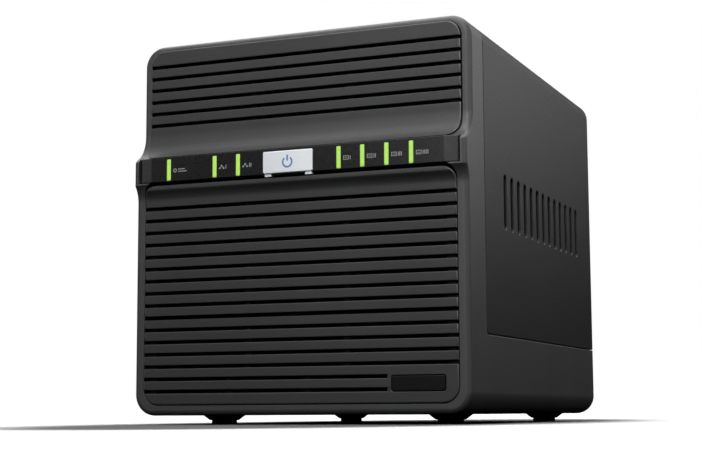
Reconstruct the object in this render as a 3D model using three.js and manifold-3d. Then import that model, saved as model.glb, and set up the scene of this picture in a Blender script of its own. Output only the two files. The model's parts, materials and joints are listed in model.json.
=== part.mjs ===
// Four-bay network storage enclosure: plastic shell with a louvred front, a steel drive cage
// with four sliding trays, and a fan door that tilts down at the back on two hinge pins.
// Millimetres, +Z up, +Y to the rear, +X to the right of a person facing the front.
// The origin is on the desk, under the middle of the footprint.

import * as THREE from "three";
import { mergeVertices } from "three/addons/utils/BufferGeometryUtils.js";
import Module from "manifold-3d";

const wasm = await Module();
wasm.setup();

// ---------------------------------------------------------------- driving dimensions
const WIDTH = 168;
const HEIGHT = 184;
const DEPTH = 230;
const FIT_GAP = 0.3;

const HALF_WIDTH = WIDTH / 2;
const FRONT_Y = -DEPTH / 2;
const REAR_Y = DEPTH / 2;
const PROUD = 0.6;
const BODY_BOTTOM_Z = 4.3;
const CORNER_RADIUS = 10;

const RING_WALL = 3;
const TUB_FRONT_Y = -101;
const COVER_WALL = 2.5;
const SEAM_Y = -88;
const SEAM_Z = 40;
const SEAM_RADIUS = 3;
const LIP = { wall: 2, reach: 6, rise: 4, drop: 10 };

const UPPER_FACE_Y = -107;
const LOWER_FACE_Y = -112.5;
const RING_UPPER_Y = -105.5;
const RING_LOWER_Y = -112;
const COVE_TOP_Z = 140;
const COVE_RADIUS = 14.8;
const STEP_BOTTOM_Z = 106;
const STEP_RADIUS = 12.2;

const BAND_BOTTOM_Z = 115;
const BAND_TOP_Z = 126.9;
const BAND_HALF = 81.2;
const BAND_BEND_X = 74;
const BAND_BACK_Y = -108;

const SLOT_PITCH = 5.8;
const SLOT_HEIGHT = 1.8;
const SLOT_DEPTH = 2.1;
const SLAB = 3.4;
const UPPER_SLOTS = 6;
const UPPER_SLOT_TOP_Z = 173.5;
const LOWER_SLOTS = 16;
const LOWER_SLOT_TOP_Z = 102.9;
const SHORT_SLOTS = 2;
const SHORT_SLOT_END_X = 45.3;
const SLOT_HOLE_HALF = 74;

const UPPER_HALF = 79.1;
const UPPER_TOP_Z = 180.7;
const LOWER_HALF = 78.3;
const LOWER_BOTTOM_Z = 9.5;
const LOWER_TOP_Z = 113.5;

const LIGHT_WIDTH = 2.1;
const LIGHT_TOP_Z = 125.7;
const LIGHTS = {
  status_light: -64.6,
  lan_light_1: -40.1,
  lan_light_2: -27.8,
  drive_light_1: 23.3,
  drive_light_2: 34.9,
  drive_light_3: 46.6,
  drive_light_4: 58.4,
};

const BUTTON = { x0: -14.7, x1: 10.4, z0: 115.3, z1: 125.6, back: -109, lug: 4, stem: 3, stemBack: -104.6 };
const BADGE = { x0: 47, x1: 72.6, z0: 14.5, z1: 21.6 };
const FRONT_BOARD = { half: 72, y0: -103, y1: -101.4, z0: 108, z1: 126.4 };
const FELT = { thick: 1, margin: 3.3, lowerTop: 106, upperBottom: 130 };

const FOOT_X = 59.1;
const FOOT_FRONT_Y = -66.7;
const FOOT_REAR_Y = 97.5;
const FOOT_RADIUS = 5.2;
const FOOT_HEIGHT = 2.2;
const BOSS = { low: 6.6, high: 10, bottom: 1.9 };

const SHEET = 1.2;
const BAY_PITCH = 37;
const BAY_XS = [-1.5, -0.5, 0.5, 1.5].map((i) => i * BAY_PITCH);
const CAGE = { half: 77.4, y0: -86, y1: 80, shelf: 49.6, top: 166 };
const TRAY = { half: 15, y0: -74, y1: 79.5, z0: 51.1, z1: 164.5, wall: 1.6, flange: 1.8, grip: 3 };
const BACKPLANE = { y0: -84.5, y1: -82.9, z0: 56, z1: 160 };

const FAN_SIZE = 80;
const FAN_Z = 110;
const FAN_X = 40.15;
const FAN_FRONT_Y = 84.1;
const FAN_REAR_Y = 109.1;
const FAN_BORE = 38.25;
const FAN_BLADES = 7;
const FAN_HUB = 16.5;
const FAN_SWEEP = 37.3;
const FAN_SCREW_OFFSET = 35.75;

const DOOR = { half: 80.6, y0: 109.4, y1: 110.6, z0: 46, z1: 177 };
const HINGE = { y: 109, z: 42.4, x: 55, pin: 1.25, bore: 1.4, barrel: 2.6, half: 6 };
const PANEL_Y = 106;
const THUMBSCREW = { x: 72, z: 171.5, shank: 1.5, head: 4.6, tip: 103.5, washer: 110.9 };

const BOARD = { half: 72, y0: -30, y1: 104, z: 16, thickness: 1.6 };
const BOARD_TOP_Z = BOARD.z + BOARD.thickness + FIT_GAP;
const HEAT_SINK = { half: 20, y0: 6, y1: 46, base: 3, height: 14, fins: 9, fin: 1.4 };
const SIDE_VENT = { count: 13, pitch: 11.4, width: 4.4, z0: 91, z1: 117, centre: 13 };

// ---------------------------------------------------------------- materials
function finish(color, roughness, metalness) {
  return new THREE.MeshStandardMaterial({ color, roughness, metalness });
}

const charcoalShell = finish(0x303132, 0.62, 0);
const charcoalCover = finish(0x2a2b2c, 0.66, 0);
const bandPlastic = finish(0x232425, 0.5, 0);
const silverPlastic = finish(0xdcdee0, 0.32, 0.1);
const greenLens = finish(0x8fc63d, 0.3, 0);
const blackRubber = finish(0x161616, 0.85, 0);
const zincSteel = finish(0xb4b8bb, 0.4, 0.9);
const darkSteel = finish(0x2b2c2e, 0.5, 0.6);
const polishedSteel = finish(0xd0d2d4, 0.22, 1);
const blackFelt = finish(0x0e0e0f, 0.95, 0);
const trayPlastic = finish(0x3c3f42, 0.6, 0);
const fanPlastic = finish(0x1d1e1f, 0.5, 0);
const boardGreen = finish(0x17523a, 0.45, 0);
const socketPlastic = finish(0x151515, 0.5, 0);
const portMetal = finish(0xc3c6c8, 0.3, 1);
const aluminiumFin = finish(0xc8ccd0, 0.35, 1);

// ---------------------------------------------------------------- solids
// A closed three.js geometry as a manifold solid.
function solid(geometry) {
  const bare = geometry.index ? geometry.toNonIndexed() : geometry.clone();
  bare.deleteAttribute("normal");
  bare.deleteAttribute("uv");
  const merged = mergeVertices(bare, 1e-4);
  return new wasm.Manifold(
    new wasm.Mesh({
      numProp: 3,
      vertProperties: merged.attributes.position.array,
      triVerts: new Uint32Array(merged.index.array),
    }),
  );
}

function block(x0, x1, y0, y1, z0, z1) {
  const shape = new THREE.BoxGeometry(x1 - x0, y1 - y0, z1 - z0);
  return solid(shape.translate((x0 + x1) / 2, (y0 + y1) / 2, (z0 + z1) / 2));
}

// A closed outline with its own radius at each corner: bottom left, bottom right, top right, top left.
function outline(x0, x1, y0, y1, radii) {
  const [bl, br, tr, tl] = Array.isArray(radii) ? radii : [radii, radii, radii, radii];
  const shape = new THREE.Shape();
  const corner = (x, y, r, start) => {
    if (r > 0) shape.absarc(x, y, r, start, start + Math.PI / 2, false);
    else shape.lineTo(x, y);
  };
  shape.moveTo(x0 + bl, y0);
  corner(x1 - br, y0 + br, br, -Math.PI / 2);
  corner(x1 - tr, y1 - tr, tr, 0);
  corner(x0 + tl, y1 - tl, tl, Math.PI / 2);
  corner(x0 + bl, y0 + bl, bl, Math.PI);
  return shape;
}

function prism(shape, length, curveSegments) {
  return new THREE.ExtrudeGeometry(shape, { depth: length, bevelEnabled: false, curveSegments });
}

// An outline drawn in X and Z, pushed from y0 to y1.
function alongY(shape, y0, y1, curveSegments = 4) {
  return solid(prism(shape, y1 - y0, curveSegments).rotateX(Math.PI / 2).translate(0, y1, 0));
}

// An outline drawn in Y and Z, pushed from x0 to x1.
function alongX(shape, x0, x1, curveSegments = 4) {
  const axes = new THREE.Matrix4().makeBasis(
    new THREE.Vector3(0, 1, 0),
    new THREE.Vector3(0, 0, 1),
    new THREE.Vector3(1, 0, 0),
  );
  return solid(prism(shape, x1 - x0, curveSegments).applyMatrix4(axes).translate(x0, 0, 0));
}

// An outline drawn in X and Y, pushed from z0 to z1.
function alongZ(shape, z0, z1, curveSegments = 4) {
  return solid(prism(shape, z1 - z0, curveSegments).translate(0, 0, z0));
}

function rodY(radius, x, z, y0, y1, segments = 20) {
  const rod = new THREE.CylinderGeometry(radius, radius, y1 - y0, segments);
  return solid(rod.translate(x, (y0 + y1) / 2, z));
}

function rodX(radius, y, z, x0, x1, segments = 16) {
  const rod = new THREE.CylinderGeometry(radius, radius, x1 - x0, segments);
  return solid(rod.rotateZ(Math.PI / 2).translate((x0 + x1) / 2, y, z));
}

// A post that stands on z0 and may narrow towards z1.
function postZ(radiusLow, radiusHigh, x, y, z0, z1, segments = 20) {
  const post = new THREE.CylinderGeometry(radiusHigh, radiusLow, z1 - z0, segments);
  return solid(post.rotateX(Math.PI / 2).translate(x, y, (z0 + z1) / 2));
}

function joined(solids) {
  return solids.reduce((sum, next) => sum.add(next));
}

function without(base, cutters) {
  return cutters.reduce((left, cutter) => left.subtract(cutter), base);
}

const group = new THREE.Group();

function place(name, made, material) {
  const data = made.getMesh();
  const geometry = new THREE.BufferGeometry();
  geometry.setAttribute("position", new THREE.BufferAttribute(data.vertProperties, 3));
  geometry.setIndex(new THREE.BufferAttribute(data.triVerts, 1));
  geometry.computeVertexNormals();
  const mesh = new THREE.Mesh(geometry, material);
  mesh.name = name;
  group.add(mesh);
}

// ---------------------------------------------------------------- shell
// The body's outline, drawn in X and Z, set in from the outside by a wall.
function bodyOutline(inset) {
  const half = HALF_WIDTH - inset;
  return outline(-half, half, BODY_BOTTOM_Z + inset, HEIGHT - inset, CORNER_RADIUS - inset);
}

// Everything behind the front edge of the ring: set back above, out to the band, back again below.
function behindRing() {
  const coveAngle = Math.asin((BAND_TOP_Z - COVE_TOP_Z) / COVE_RADIUS);
  const stepAngle = Math.asin((BAND_BOTTOM_Z - 1 - STEP_BOTTOM_Z) / STEP_RADIUS);
  const shape = new THREE.Shape();
  shape.moveTo(REAR_Y + 1, 0);
  shape.lineTo(REAR_Y + 1, HEIGHT + 1);
  shape.lineTo(RING_UPPER_Y, HEIGHT + 1);
  shape.absarc(RING_UPPER_Y - COVE_RADIUS, COVE_TOP_Z, COVE_RADIUS, 0, coveAngle, true);
  shape.lineTo(FRONT_Y, BAND_TOP_Z - 1.5);
  shape.absarc(RING_LOWER_Y - STEP_RADIUS, STEP_BOTTOM_Z, STEP_RADIUS, stepAngle, 0, true);
  shape.lineTo(RING_LOWER_Y, 0);
  return alongX(shape, -HALF_WIDTH - 1, HALF_WIDTH + 1);
}

// The openings that the front panels sit in.
function frontOpenings() {
  const grow = 0.45;
  return [
    alongY(
      outline(-UPPER_HALF - grow, UPPER_HALF + grow, BAND_TOP_Z - 2, UPPER_TOP_Z + grow, [0, 0, 7.4, 7.4]),
      FRONT_Y - 1,
      TUB_FRONT_Y,
    ),
    alongY(
      outline(-LOWER_HALF - grow, LOWER_HALF + grow, LOWER_BOTTOM_Z - grow, BAND_TOP_Z, [8, 8, 0, 0]),
      FRONT_Y - 1,
      TUB_FRONT_Y,
    ),
    block(
      -BAND_HALF - grow,
      BAND_HALF + grow,
      FRONT_Y - 1,
      TUB_FRONT_Y,
      LOWER_TOP_Z + FIT_GAP,
      BAND_TOP_Z + FIT_GAP,
    ),
  ];
}

// The ledges that hold the edges of the two louvred panels from behind.
function panelLedges() {
  const width = 3;
  const upperY = UPPER_FACE_Y + SLAB + FIT_GAP;
  const lowerY = LOWER_FACE_Y + SLAB + FIT_GAP;
  const upper = alongY(
    outline(-UPPER_HALF - 1, UPPER_HALF + 1, BAND_TOP_Z + 3, UPPER_TOP_Z + 1, [0, 0, 7, 7]),
    upperY,
    upperY + 2,
  );
  const lower = alongY(
    outline(-LOWER_HALF - 1, LOWER_HALF + 1, LOWER_BOTTOM_Z - 1, BAND_BOTTOM_Z - 3, [7, 7, 0, 0]),
    lowerY,
    lowerY + 2,
  );
  const reach = UPPER_HALF - width;
  const inner = block(-reach, reach, FRONT_Y, -100, BAND_BOTTOM_Z, UPPER_TOP_Z - width);
  const lowReach = LOWER_HALF - width;
  const lowInner = block(-lowReach, lowReach, FRONT_Y, -100, LOWER_BOTTOM_Z + width, HEIGHT);
  return [upper.subtract(inner), lower.subtract(lowInner)];
}

// A thin felt that keeps dust out behind a louvred panel, set inside the panel's ledges.
function dustFelt(half, faceY, z0, z1) {
  const front = faceY + SLAB + FIT_GAP;
  return block(-half, half, front, front + FELT.thick, z0, z1);
}

// The space above the side seam and behind the ring, which belongs to the top cover.
function coverSpace(gap) {
  const shape = outline(
    SEAM_Y + gap,
    REAR_Y + 5,
    SEAM_Z + gap,
    HEIGHT + 5,
    [SEAM_RADIUS, 0, 0, 0],
  );
  return alongX(shape, -HALF_WIDTH - 5, HALF_WIDTH + 5);
}

// The lips inside the ring and along the sides that the top cover's edges sit on.
function coverLips() {
  const inset = COVER_WALL + FIT_GAP;
  const y0 = SEAM_Y - LIP.reach;
  const y1 = SEAM_Y + LIP.reach;
  const z0 = SEAM_Z - LIP.drop;
  const outer = alongY(bodyOutline(inset), y0, y1);
  const inner = alongY(bodyOutline(inset + LIP.wall), y0 - 1, y1 + 1);
  const below = block(-HALF_WIDTH, HALF_WIDTH, y0 - 1, y1 + 1, 0, z0);
  const sides = [-1, 1].map((side) => {
    const a = side * (HALF_WIDTH - inset);
    const b = a - side * LIP.wall;
    return block(Math.min(a, b), Math.max(a, b), y0, PANEL_Y - 2, z0, SEAM_Z + LIP.rise);
  });
  return [without(outer, [inner, below]), ...sides];
}

function lowerShell() {
  const hull = alongY(bodyOutline(0), FRONT_Y, REAR_Y).intersect(behindRing()).subtract(coverSpace(0));
  const tubSpace = alongY(bodyOutline(RING_WALL), TUB_FRONT_Y, REAR_Y + 1);
  const bosses = footPlaces().map(([, x, y]) =>
    postZ(BOSS.low, BOSS.high, x, y, BOSS.bottom, BODY_BOTTOM_Z + 0.4),
  );
  const sockets = footPlaces().map(([, x, y]) =>
    postZ(FOOT_RADIUS + FIT_GAP, FOOT_RADIUS + FIT_GAP, x, y, 0, FOOT_HEIGHT + FIT_GAP),
  );
  const bottomSlots = [-50, -30, -10, 10, 30, 50].map((x) =>
    block(x - 2, x + 2, -40, 60, BODY_BOTTOM_Z - 1, BODY_BOTTOM_Z + RING_WALL + 1),
  );
  const standoffs = [-64, 64].flatMap((x) =>
    [-22, 90].map((y) => postZ(3, 2.6, x, y, BODY_BOTTOM_Z + 2, BOARD.z - FIT_GAP, 12)),
  );
  const body = joined([
    without(hull, [...frontOpenings(), tubSpace]),
    ...coverLips(),
    ...panelLedges(),
    ...bosses,
    ...standoffs,
  ]);
  return without(body, [...sockets, ...bottomSlots]);
}

function topCover() {
  const shell = alongY(bodyOutline(0), SEAM_Y, REAR_Y).subtract(
    alongY(bodyOutline(COVER_WALL), SEAM_Y - 1, REAR_Y + 1),
  );
  const half = SIDE_VENT.width / 2;
  const vents = Array.from({ length: SIDE_VENT.count }, (_, i) => {
    const y = SIDE_VENT.centre + (i - (SIDE_VENT.count - 1) / 2) * SIDE_VENT.pitch;
    const slot = outline(y - half, y + half, SIDE_VENT.z0, SIDE_VENT.z1, half);
    return alongX(slot, -HALF_WIDTH - 1, HALF_WIDTH + 1, 1);
  });
  return without(shell.intersect(coverSpace(FIT_GAP)), vents);
}

// ---------------------------------------------------------------- louvred front panels
// One louvre: a groove across the whole face, with three openings through its floor for air.
function louvre(faceY, z, x0, x1) {
  const z0 = z - SLOT_HEIGHT / 2;
  const z1 = z + SLOT_HEIGHT / 2;
  const groove = block(x0, x1, faceY - 1, faceY + SLOT_DEPTH, z0, z1);
  const left = Math.max(x0, -SLOT_HOLE_HALF);
  const right = Math.min(x1, SLOT_HOLE_HALF);
  const span = (right - left) / 3;
  const holes = [0, 1, 2].map((i) =>
    block(left + i * span + 2, left + (i + 1) * span - 2, faceY, faceY + SLAB + 1, z0, z1),
  );
  return joined([groove, ...holes]);
}

function upperGrille() {
  const backY = UPPER_FACE_Y + SLAB;
  const coveAngle = Math.asin((BAND_TOP_Z + 0.4 - COVE_TOP_Z) / COVE_RADIUS);
  const side = new THREE.Shape();
  side.moveTo(backY, BAND_TOP_Z + 0.4);
  side.lineTo(backY, UPPER_TOP_Z);
  side.lineTo(UPPER_FACE_Y, UPPER_TOP_Z);
  side.absarc(UPPER_FACE_Y - COVE_RADIUS, COVE_TOP_Z, COVE_RADIUS, 0, coveAngle, true);
  const face = outline(-UPPER_HALF, UPPER_HALF, BAND_TOP_Z + 0.4, UPPER_TOP_Z, [6, 6, 7, 7]);
  const slab = alongX(side, -UPPER_HALF, UPPER_HALF).intersect(alongY(face, FRONT_Y - 2, -100));
  const relief = block(
    -SLOT_HOLE_HALF,
    SLOT_HOLE_HALF,
    UPPER_FACE_Y - 4,
    backY + 1,
    BAND_TOP_Z + 2,
    BAND_TOP_Z + 5,
  );
  const louvres = Array.from({ length: UPPER_SLOTS }, (_, i) =>
    louvre(UPPER_FACE_Y, UPPER_SLOT_TOP_Z - i * SLOT_PITCH, -UPPER_HALF - 1, UPPER_HALF + 1),
  );
  return without(slab, [relief, ...louvres]);
}

function lowerGrille() {
  const backY = LOWER_FACE_Y + SLAB;
  const lipY = LOWER_FACE_Y - 2.1;
  const lipBottomZ = LOWER_TOP_Z - 1.9;
  const radius = 8.5;
  const side = new THREE.Shape();
  side.moveTo(backY, LOWER_BOTTOM_Z);
  side.lineTo(backY, LOWER_TOP_Z);
  side.lineTo(lipY, LOWER_TOP_Z);
  side.absarc(
    LOWER_FACE_Y - radius,
    STEP_BOTTOM_Z,
    radius,
    Math.asin((lipBottomZ - STEP_BOTTOM_Z) / radius),
    0,
    true,
  );
  side.lineTo(LOWER_FACE_Y, LOWER_BOTTOM_Z);
  const face = outline(-LOWER_HALF, LOWER_HALF, LOWER_BOTTOM_Z, LOWER_TOP_Z, [7.5, 7.5, 5.5, 5.5]);
  const slab = alongX(side, -LOWER_HALF, LOWER_HALF).intersect(alongY(face, FRONT_Y - 1, -100));
  const louvres = Array.from({ length: LOWER_SLOTS }, (_, i) => {
    const isShort = i >= LOWER_SLOTS - SHORT_SLOTS;
    const end = isShort ? SHORT_SLOT_END_X : LOWER_HALF + 1;
    return louvre(LOWER_FACE_Y, LOWER_SLOT_TOP_Z - i * SLOT_PITCH, -LOWER_HALF - 1, end);
  });
  const badgePocket = block(BADGE.x0, BADGE.x1, FRONT_Y, LOWER_FACE_Y + 1, BADGE.z0, BADGE.z1);
  return without(slab, [badgePocket, ...louvres]);
}

function badgePlate() {
  const gap = FIT_GAP;
  const plate = outline(BADGE.x0 + gap, BADGE.x1 - gap, BADGE.z0 + gap, BADGE.z1 - gap, 1);
  return alongY(plate, LOWER_FACE_Y - 0.2, LOWER_FACE_Y + 0.7, 2);
}

// ---------------------------------------------------------------- indicator band
function indicatorBand() {
  const plan = new THREE.Shape();
  plan.moveTo(-BAND_HALF, BAND_BACK_Y);
  plan.lineTo(-BAND_HALF, FRONT_Y + 2);
  plan.quadraticCurveTo(-BAND_HALF + 1, FRONT_Y + 0.1, -BAND_BEND_X, FRONT_Y);
  plan.lineTo(BAND_BEND_X, FRONT_Y);
  plan.quadraticCurveTo(BAND_HALF - 1, FRONT_Y + 0.1, BAND_HALF, FRONT_Y + 2);
  plan.lineTo(BAND_HALF, BAND_BACK_Y);
  const bar = alongZ(plan, BAND_BOTTOM_Z, BAND_TOP_Z);
  const lightSlots = Object.values(LIGHTS).map((x) => {
    const half = LIGHT_WIDTH / 2 + FIT_GAP;
    return block(x - half, x + half, FRONT_Y - 1, BAND_BACK_Y + 1, BAND_BOTTOM_Z - 1, LIGHT_TOP_Z + FIT_GAP);
  });
  const buttonHole = block(
    BUTTON.x0 - FIT_GAP,
    BUTTON.x1 + FIT_GAP,
    FRONT_Y - 1,
    BAND_BACK_Y + 1,
    BAND_BOTTOM_Z - 1,
    BUTTON.z1 + FIT_GAP,
  );
  return without(bar, [...lightSlots, buttonHole]);
}

function lightPipe(x) {
  const half = LIGHT_WIDTH / 2;
  return block(x - half, x + half, FRONT_Y - 0.2, FRONT_BOARD.y0 - 1, BAND_BOTTOM_Z, LIGHT_TOP_Z);
}

// The button cap, with a small lug under each lower corner and a stem that reaches its switch.
function powerButton() {
  const cap = block(BUTTON.x0, BUTTON.x1, FRONT_Y - PROUD, BUTTON.back, BUTTON.z0, BUTTON.z1);
  const lugs = [BUTTON.x0 + 0.4, BUTTON.x1 - 0.4 - BUTTON.lug].map((x) =>
    block(x, x + BUTTON.lug, FRONT_Y - 0.2, BUTTON.back - 3, LOWER_TOP_Z + FIT_GAP, BUTTON.z0 + 1),
  );
  const x = (BUTTON.x0 + BUTTON.x1) / 2;
  const z = (BUTTON.z0 + BUTTON.z1) / 2;
  const { stem, stemBack } = BUTTON;
  const rod = block(x - stem, x + stem, BUTTON.back - 1, stemBack, z - stem, z + stem);
  return joined([cap, ...lugs, rod]);
}

function frontBoard() {
  const { half, y0, y1, z0, z1 } = FRONT_BOARD;
  return block(-half, half, y0, y1, z0, z1);
}

// ---------------------------------------------------------------- feet
function footPlaces() {
  return [
    ["foot_front_left", -FOOT_X, FOOT_FRONT_Y],
    ["foot_front_right", FOOT_X, FOOT_FRONT_Y],
    ["foot_rear_left", -FOOT_X, FOOT_REAR_Y],
    ["foot_rear_right", FOOT_X, FOOT_REAR_Y],
  ];
}

// ---------------------------------------------------------------- drive cage and trays
// A ridge that keeps two neighbouring trays apart, on the shelf and under the top plate.
function trayGuides() {
  const guide = TRAY.half + FIT_GAP;
  const spans = [
    [-CAGE.half + 0.5, BAY_XS[0] - guide],
    ...BAY_XS.slice(1).map((x, i) => [BAY_XS[i] + guide, x - guide]),
    [BAY_XS[3] + guide, CAGE.half - 0.5],
  ];
  return spans.flatMap(([x0, x1]) => [
    block(x0, x1, -74, 76, CAGE.shelf + 0.5, CAGE.shelf + SHEET + 4),
    block(x0, x1, -74, 76, CAGE.top - SHEET - 4, CAGE.top - 0.5),
  ]);
}

function driveCage() {
  const sides = [-1, 1].map((side) => {
    const outer = side * CAGE.half;
    const inner = outer - side * SHEET;
    const low = BODY_BOTTOM_Z + RING_WALL + 1.1;
    const x0 = Math.min(outer, inner);
    const plate = block(x0, x0 + SHEET, CAGE.y0, CAGE.y1, low, CAGE.top);
    const windows = [-44, 0, 44].map((y) => block(x0 - 1, x0 + 3, y - 17, y + 17, 84, 124));
    return without(plate, windows);
  });
  const shelf = block(-CAGE.half, CAGE.half, -74, CAGE.y1, CAGE.shelf, CAGE.shelf + SHEET);
  const top = block(-CAGE.half, CAGE.half, CAGE.y0, CAGE.y1, CAGE.top - SHEET, CAGE.top);
  return joined([...sides, shelf, top, ...trayGuides()]);
}

// A tray: one side wall, a floor and a roof flange, and a rear grip with air windows.
function tray(x) {
  const left = x - TRAY.half;
  const right = x + TRAY.half;
  const wall = block(left, left + TRAY.wall, TRAY.y0, TRAY.y1, TRAY.z0, TRAY.z1);
  const floor = block(left, right, TRAY.y0, TRAY.y1, TRAY.z0, TRAY.z0 + TRAY.flange);
  const roof = block(left, right, TRAY.y0, TRAY.y1, TRAY.z1 - TRAY.flange, TRAY.z1);
  const grip = block(left, right, TRAY.y1 - TRAY.grip, TRAY.y1, TRAY.z0, TRAY.z1);
  const windows = [62, 115].map((z) =>
    block(left + TRAY.wall, x + 9, TRAY.y1 - TRAY.grip - 1, TRAY.y1 + 1, z, z + 38),
  );
  return without(joined([wall, floor, roof, grip]), windows);
}

function backplane() {
  const { y0, y1, z0, z1 } = BACKPLANE;
  const half = CAGE.half - SHEET - FIT_GAP;
  const windows = [-1, 0, 1].map((i) =>
    block(i * BAY_PITCH - 7, i * BAY_PITCH + 7, y0 - 1, y1 + 1, z0 + 10, z1 - 10),
  );
  return without(block(-half, half, y0, y1, z0, z1), windows);
}

function driveSocket(x) {
  const y0 = BACKPLANE.y1 + FIT_GAP;
  const y1 = TRAY.y0 - 1.2;
  const shell = block(x - 4, x + 4, y0, y1, 70, 112);
  const mouths = [
    [73, 92],
    [96, 109],
  ].map(([z0, z1]) => block(x - 1, x + 1, y0 + 2.6, y1 + 1, z0, z1));
  return without(shell, mouths);
}

// ---------------------------------------------------------------- mainboard and rear ports
const PORTS = {
  dc_jack: { x: 62, width: 9.6, height: 11, depth: 14, rear: 109.6 },
  usb_port_1: { x: 42, width: 14.6, height: 7, depth: 18, rear: 109.6 },
  usb_port_2: { x: 22, width: 14.6, height: 7, depth: 18, rear: 109.6 },
  lan_port_1: { x: -2, width: 16, height: 13.6, depth: 21, rear: 109.2 },
  lan_port_2: { x: -22, width: 16, height: 13.6, depth: 21, rear: 109.2 },
};
const RESET = { x: -42, z: 24, radius: 1.1 };
const LOCK = { x: -64, z: 24, width: 7, height: 3 };

function portMouth(name, port) {
  const z0 = BOARD_TOP_Z;
  const y0 = port.rear - port.depth + 3;
  const middle = z0 + port.height / 2;
  if (name === "dc_jack") {
    const barrel = rodY(3.2, port.x, middle, y0, port.rear + 1, 16);
    return barrel.subtract(rodY(1, port.x, middle, y0 - 1, port.rear - 2, 8));
  }
  const side = port.width / 2 - 0.8;
  const mouth = block(port.x - side, port.x + side, y0, port.rear + 1, z0 + 0.8, z0 + port.height - 0.8);
  if (name.startsWith("lan")) return mouth;
  return mouth.subtract(block(port.x - 5.6, port.x + 5.6, y0 - 1, port.rear - 1, middle - 1, middle + 1));
}

function port(name) {
  const made = PORTS[name];
  const half = made.width / 2;
  const shell = block(
    made.x - half,
    made.x + half,
    made.rear - made.depth,
    made.rear,
    BOARD_TOP_Z,
    BOARD_TOP_Z + made.height,
  );
  return shell.subtract(portMouth(name, made));
}

function mainboard() {
  return block(-BOARD.half, BOARD.half, BOARD.y0, BOARD.y1, BOARD.z, BOARD.z + BOARD.thickness);
}

function heatSink() {
  const { half, y0, y1, fins, fin } = HEAT_SINK;
  const z0 = BOARD_TOP_Z;
  const base = block(-half, half, y0, y1, z0, z0 + HEAT_SINK.base);
  const pitch = (2 * half - fin) / (fins - 1);
  const blades = Array.from({ length: fins }, (_, i) => {
    const x = -half + i * pitch;
    return block(x, x + fin, y0, y1, z0 + 1, z0 + HEAT_SINK.height);
  });
  return joined([base, ...blades]);
}

// The steel panel with the port openings, the reset hole, the lock slot and the hinge ears.
function ioPanel() {
  const sheet = block(-80.6, 80.6, PANEL_Y, PANEL_Y + SHEET, BODY_BOTTOM_Z, SEAM_Z - 0.5);
  const plate = sheet.intersect(alongY(bodyOutline(RING_WALL + FIT_GAP), 100, REAR_Y));
  const z0 = BOARD_TOP_Z;
  const gap = 0.5;
  const holes = Object.values(PORTS).map((made) =>
    block(
      made.x - made.width / 2 - gap,
      made.x + made.width / 2 + gap,
      PANEL_Y - 1,
      PANEL_Y + 3,
      z0 - gap,
      z0 + made.height + gap,
    ),
  );
  const resetHole = rodY(RESET.radius + 0.4, RESET.x, RESET.z, PANEL_Y - 1, PANEL_Y + 3, 12);
  const lockSlot = block(
    LOCK.x - LOCK.width / 2,
    LOCK.x + LOCK.width / 2,
    PANEL_Y - 1,
    PANEL_Y + 3,
    LOCK.z - LOCK.height / 2,
    LOCK.z + LOCK.height / 2,
  );
  const ears = hingeSides().flatMap((x) =>
    [-1, 1].map((side) => {
      const inner = x + side * (HINGE.half + FIT_GAP);
      const outer = inner + side * SHEET;
      const x0 = Math.min(inner, outer);
      return joined([
        rodX(3, HINGE.y, HINGE.z, x0, x0 + SHEET),
        block(x0, x0 + SHEET, PANEL_Y, HINGE.y, HINGE.z - 3, HINGE.z + 3),
      ]);
    }),
  );
  const pinBore = rodX(HINGE.bore, HINGE.y, HINGE.z, -HALF_WIDTH, HALF_WIDTH);
  return without(joined([plate, ...ears]), [...holes, resetHole, lockSlot, pinBore]);
}

function resetButton() {
  const cap = rodY(RESET.radius, RESET.x, RESET.z, 99, 106.8, 12);
  return cap.add(block(RESET.x - 2.4, RESET.x + 2.4, 97.5, 99.5, RESET.z - 2.4, RESET.z + 2.4));
}

function lockSlotPlate() {
  const plate = block(LOCK.x - 8, LOCK.x + 8, PANEL_Y - 2.3, PANEL_Y - FIT_GAP, LOCK.z - 6, LOCK.z + 6);
  return plate.subtract(
    block(LOCK.x - 3.5, LOCK.x + 3.5, PANEL_Y - 4, PANEL_Y + 1, LOCK.z - 1.5, LOCK.z + 1.5),
  );
}

// The bar across the top of the back, which the thumbscrews hold the door to.
function rearCrossbar() {
  const wall = block(-80.6, 80.6, PANEL_Y, PANEL_Y + SHEET, CAGE.top + FIT_GAP, 180.6);
  const flange = block(-76, 76, 40, PANEL_Y + SHEET, CAGE.top + FIT_GAP, CAGE.top + FIT_GAP + SHEET);
  const holes = [-1, 1].map((side) =>
    rodY(THUMBSCREW.shank + 1, side * THUMBSCREW.x, THUMBSCREW.z, PANEL_Y - 1, PANEL_Y + 3, 16),
  );
  const cutCorners = alongY(bodyOutline(COVER_WALL + FIT_GAP), 30, REAR_Y);
  return without(joined([wall, flange]).intersect(cutCorners), holes);
}

// ---------------------------------------------------------------- fan door
function hingeSides() {
  return [-HINGE.x, HINGE.x];
}

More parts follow.
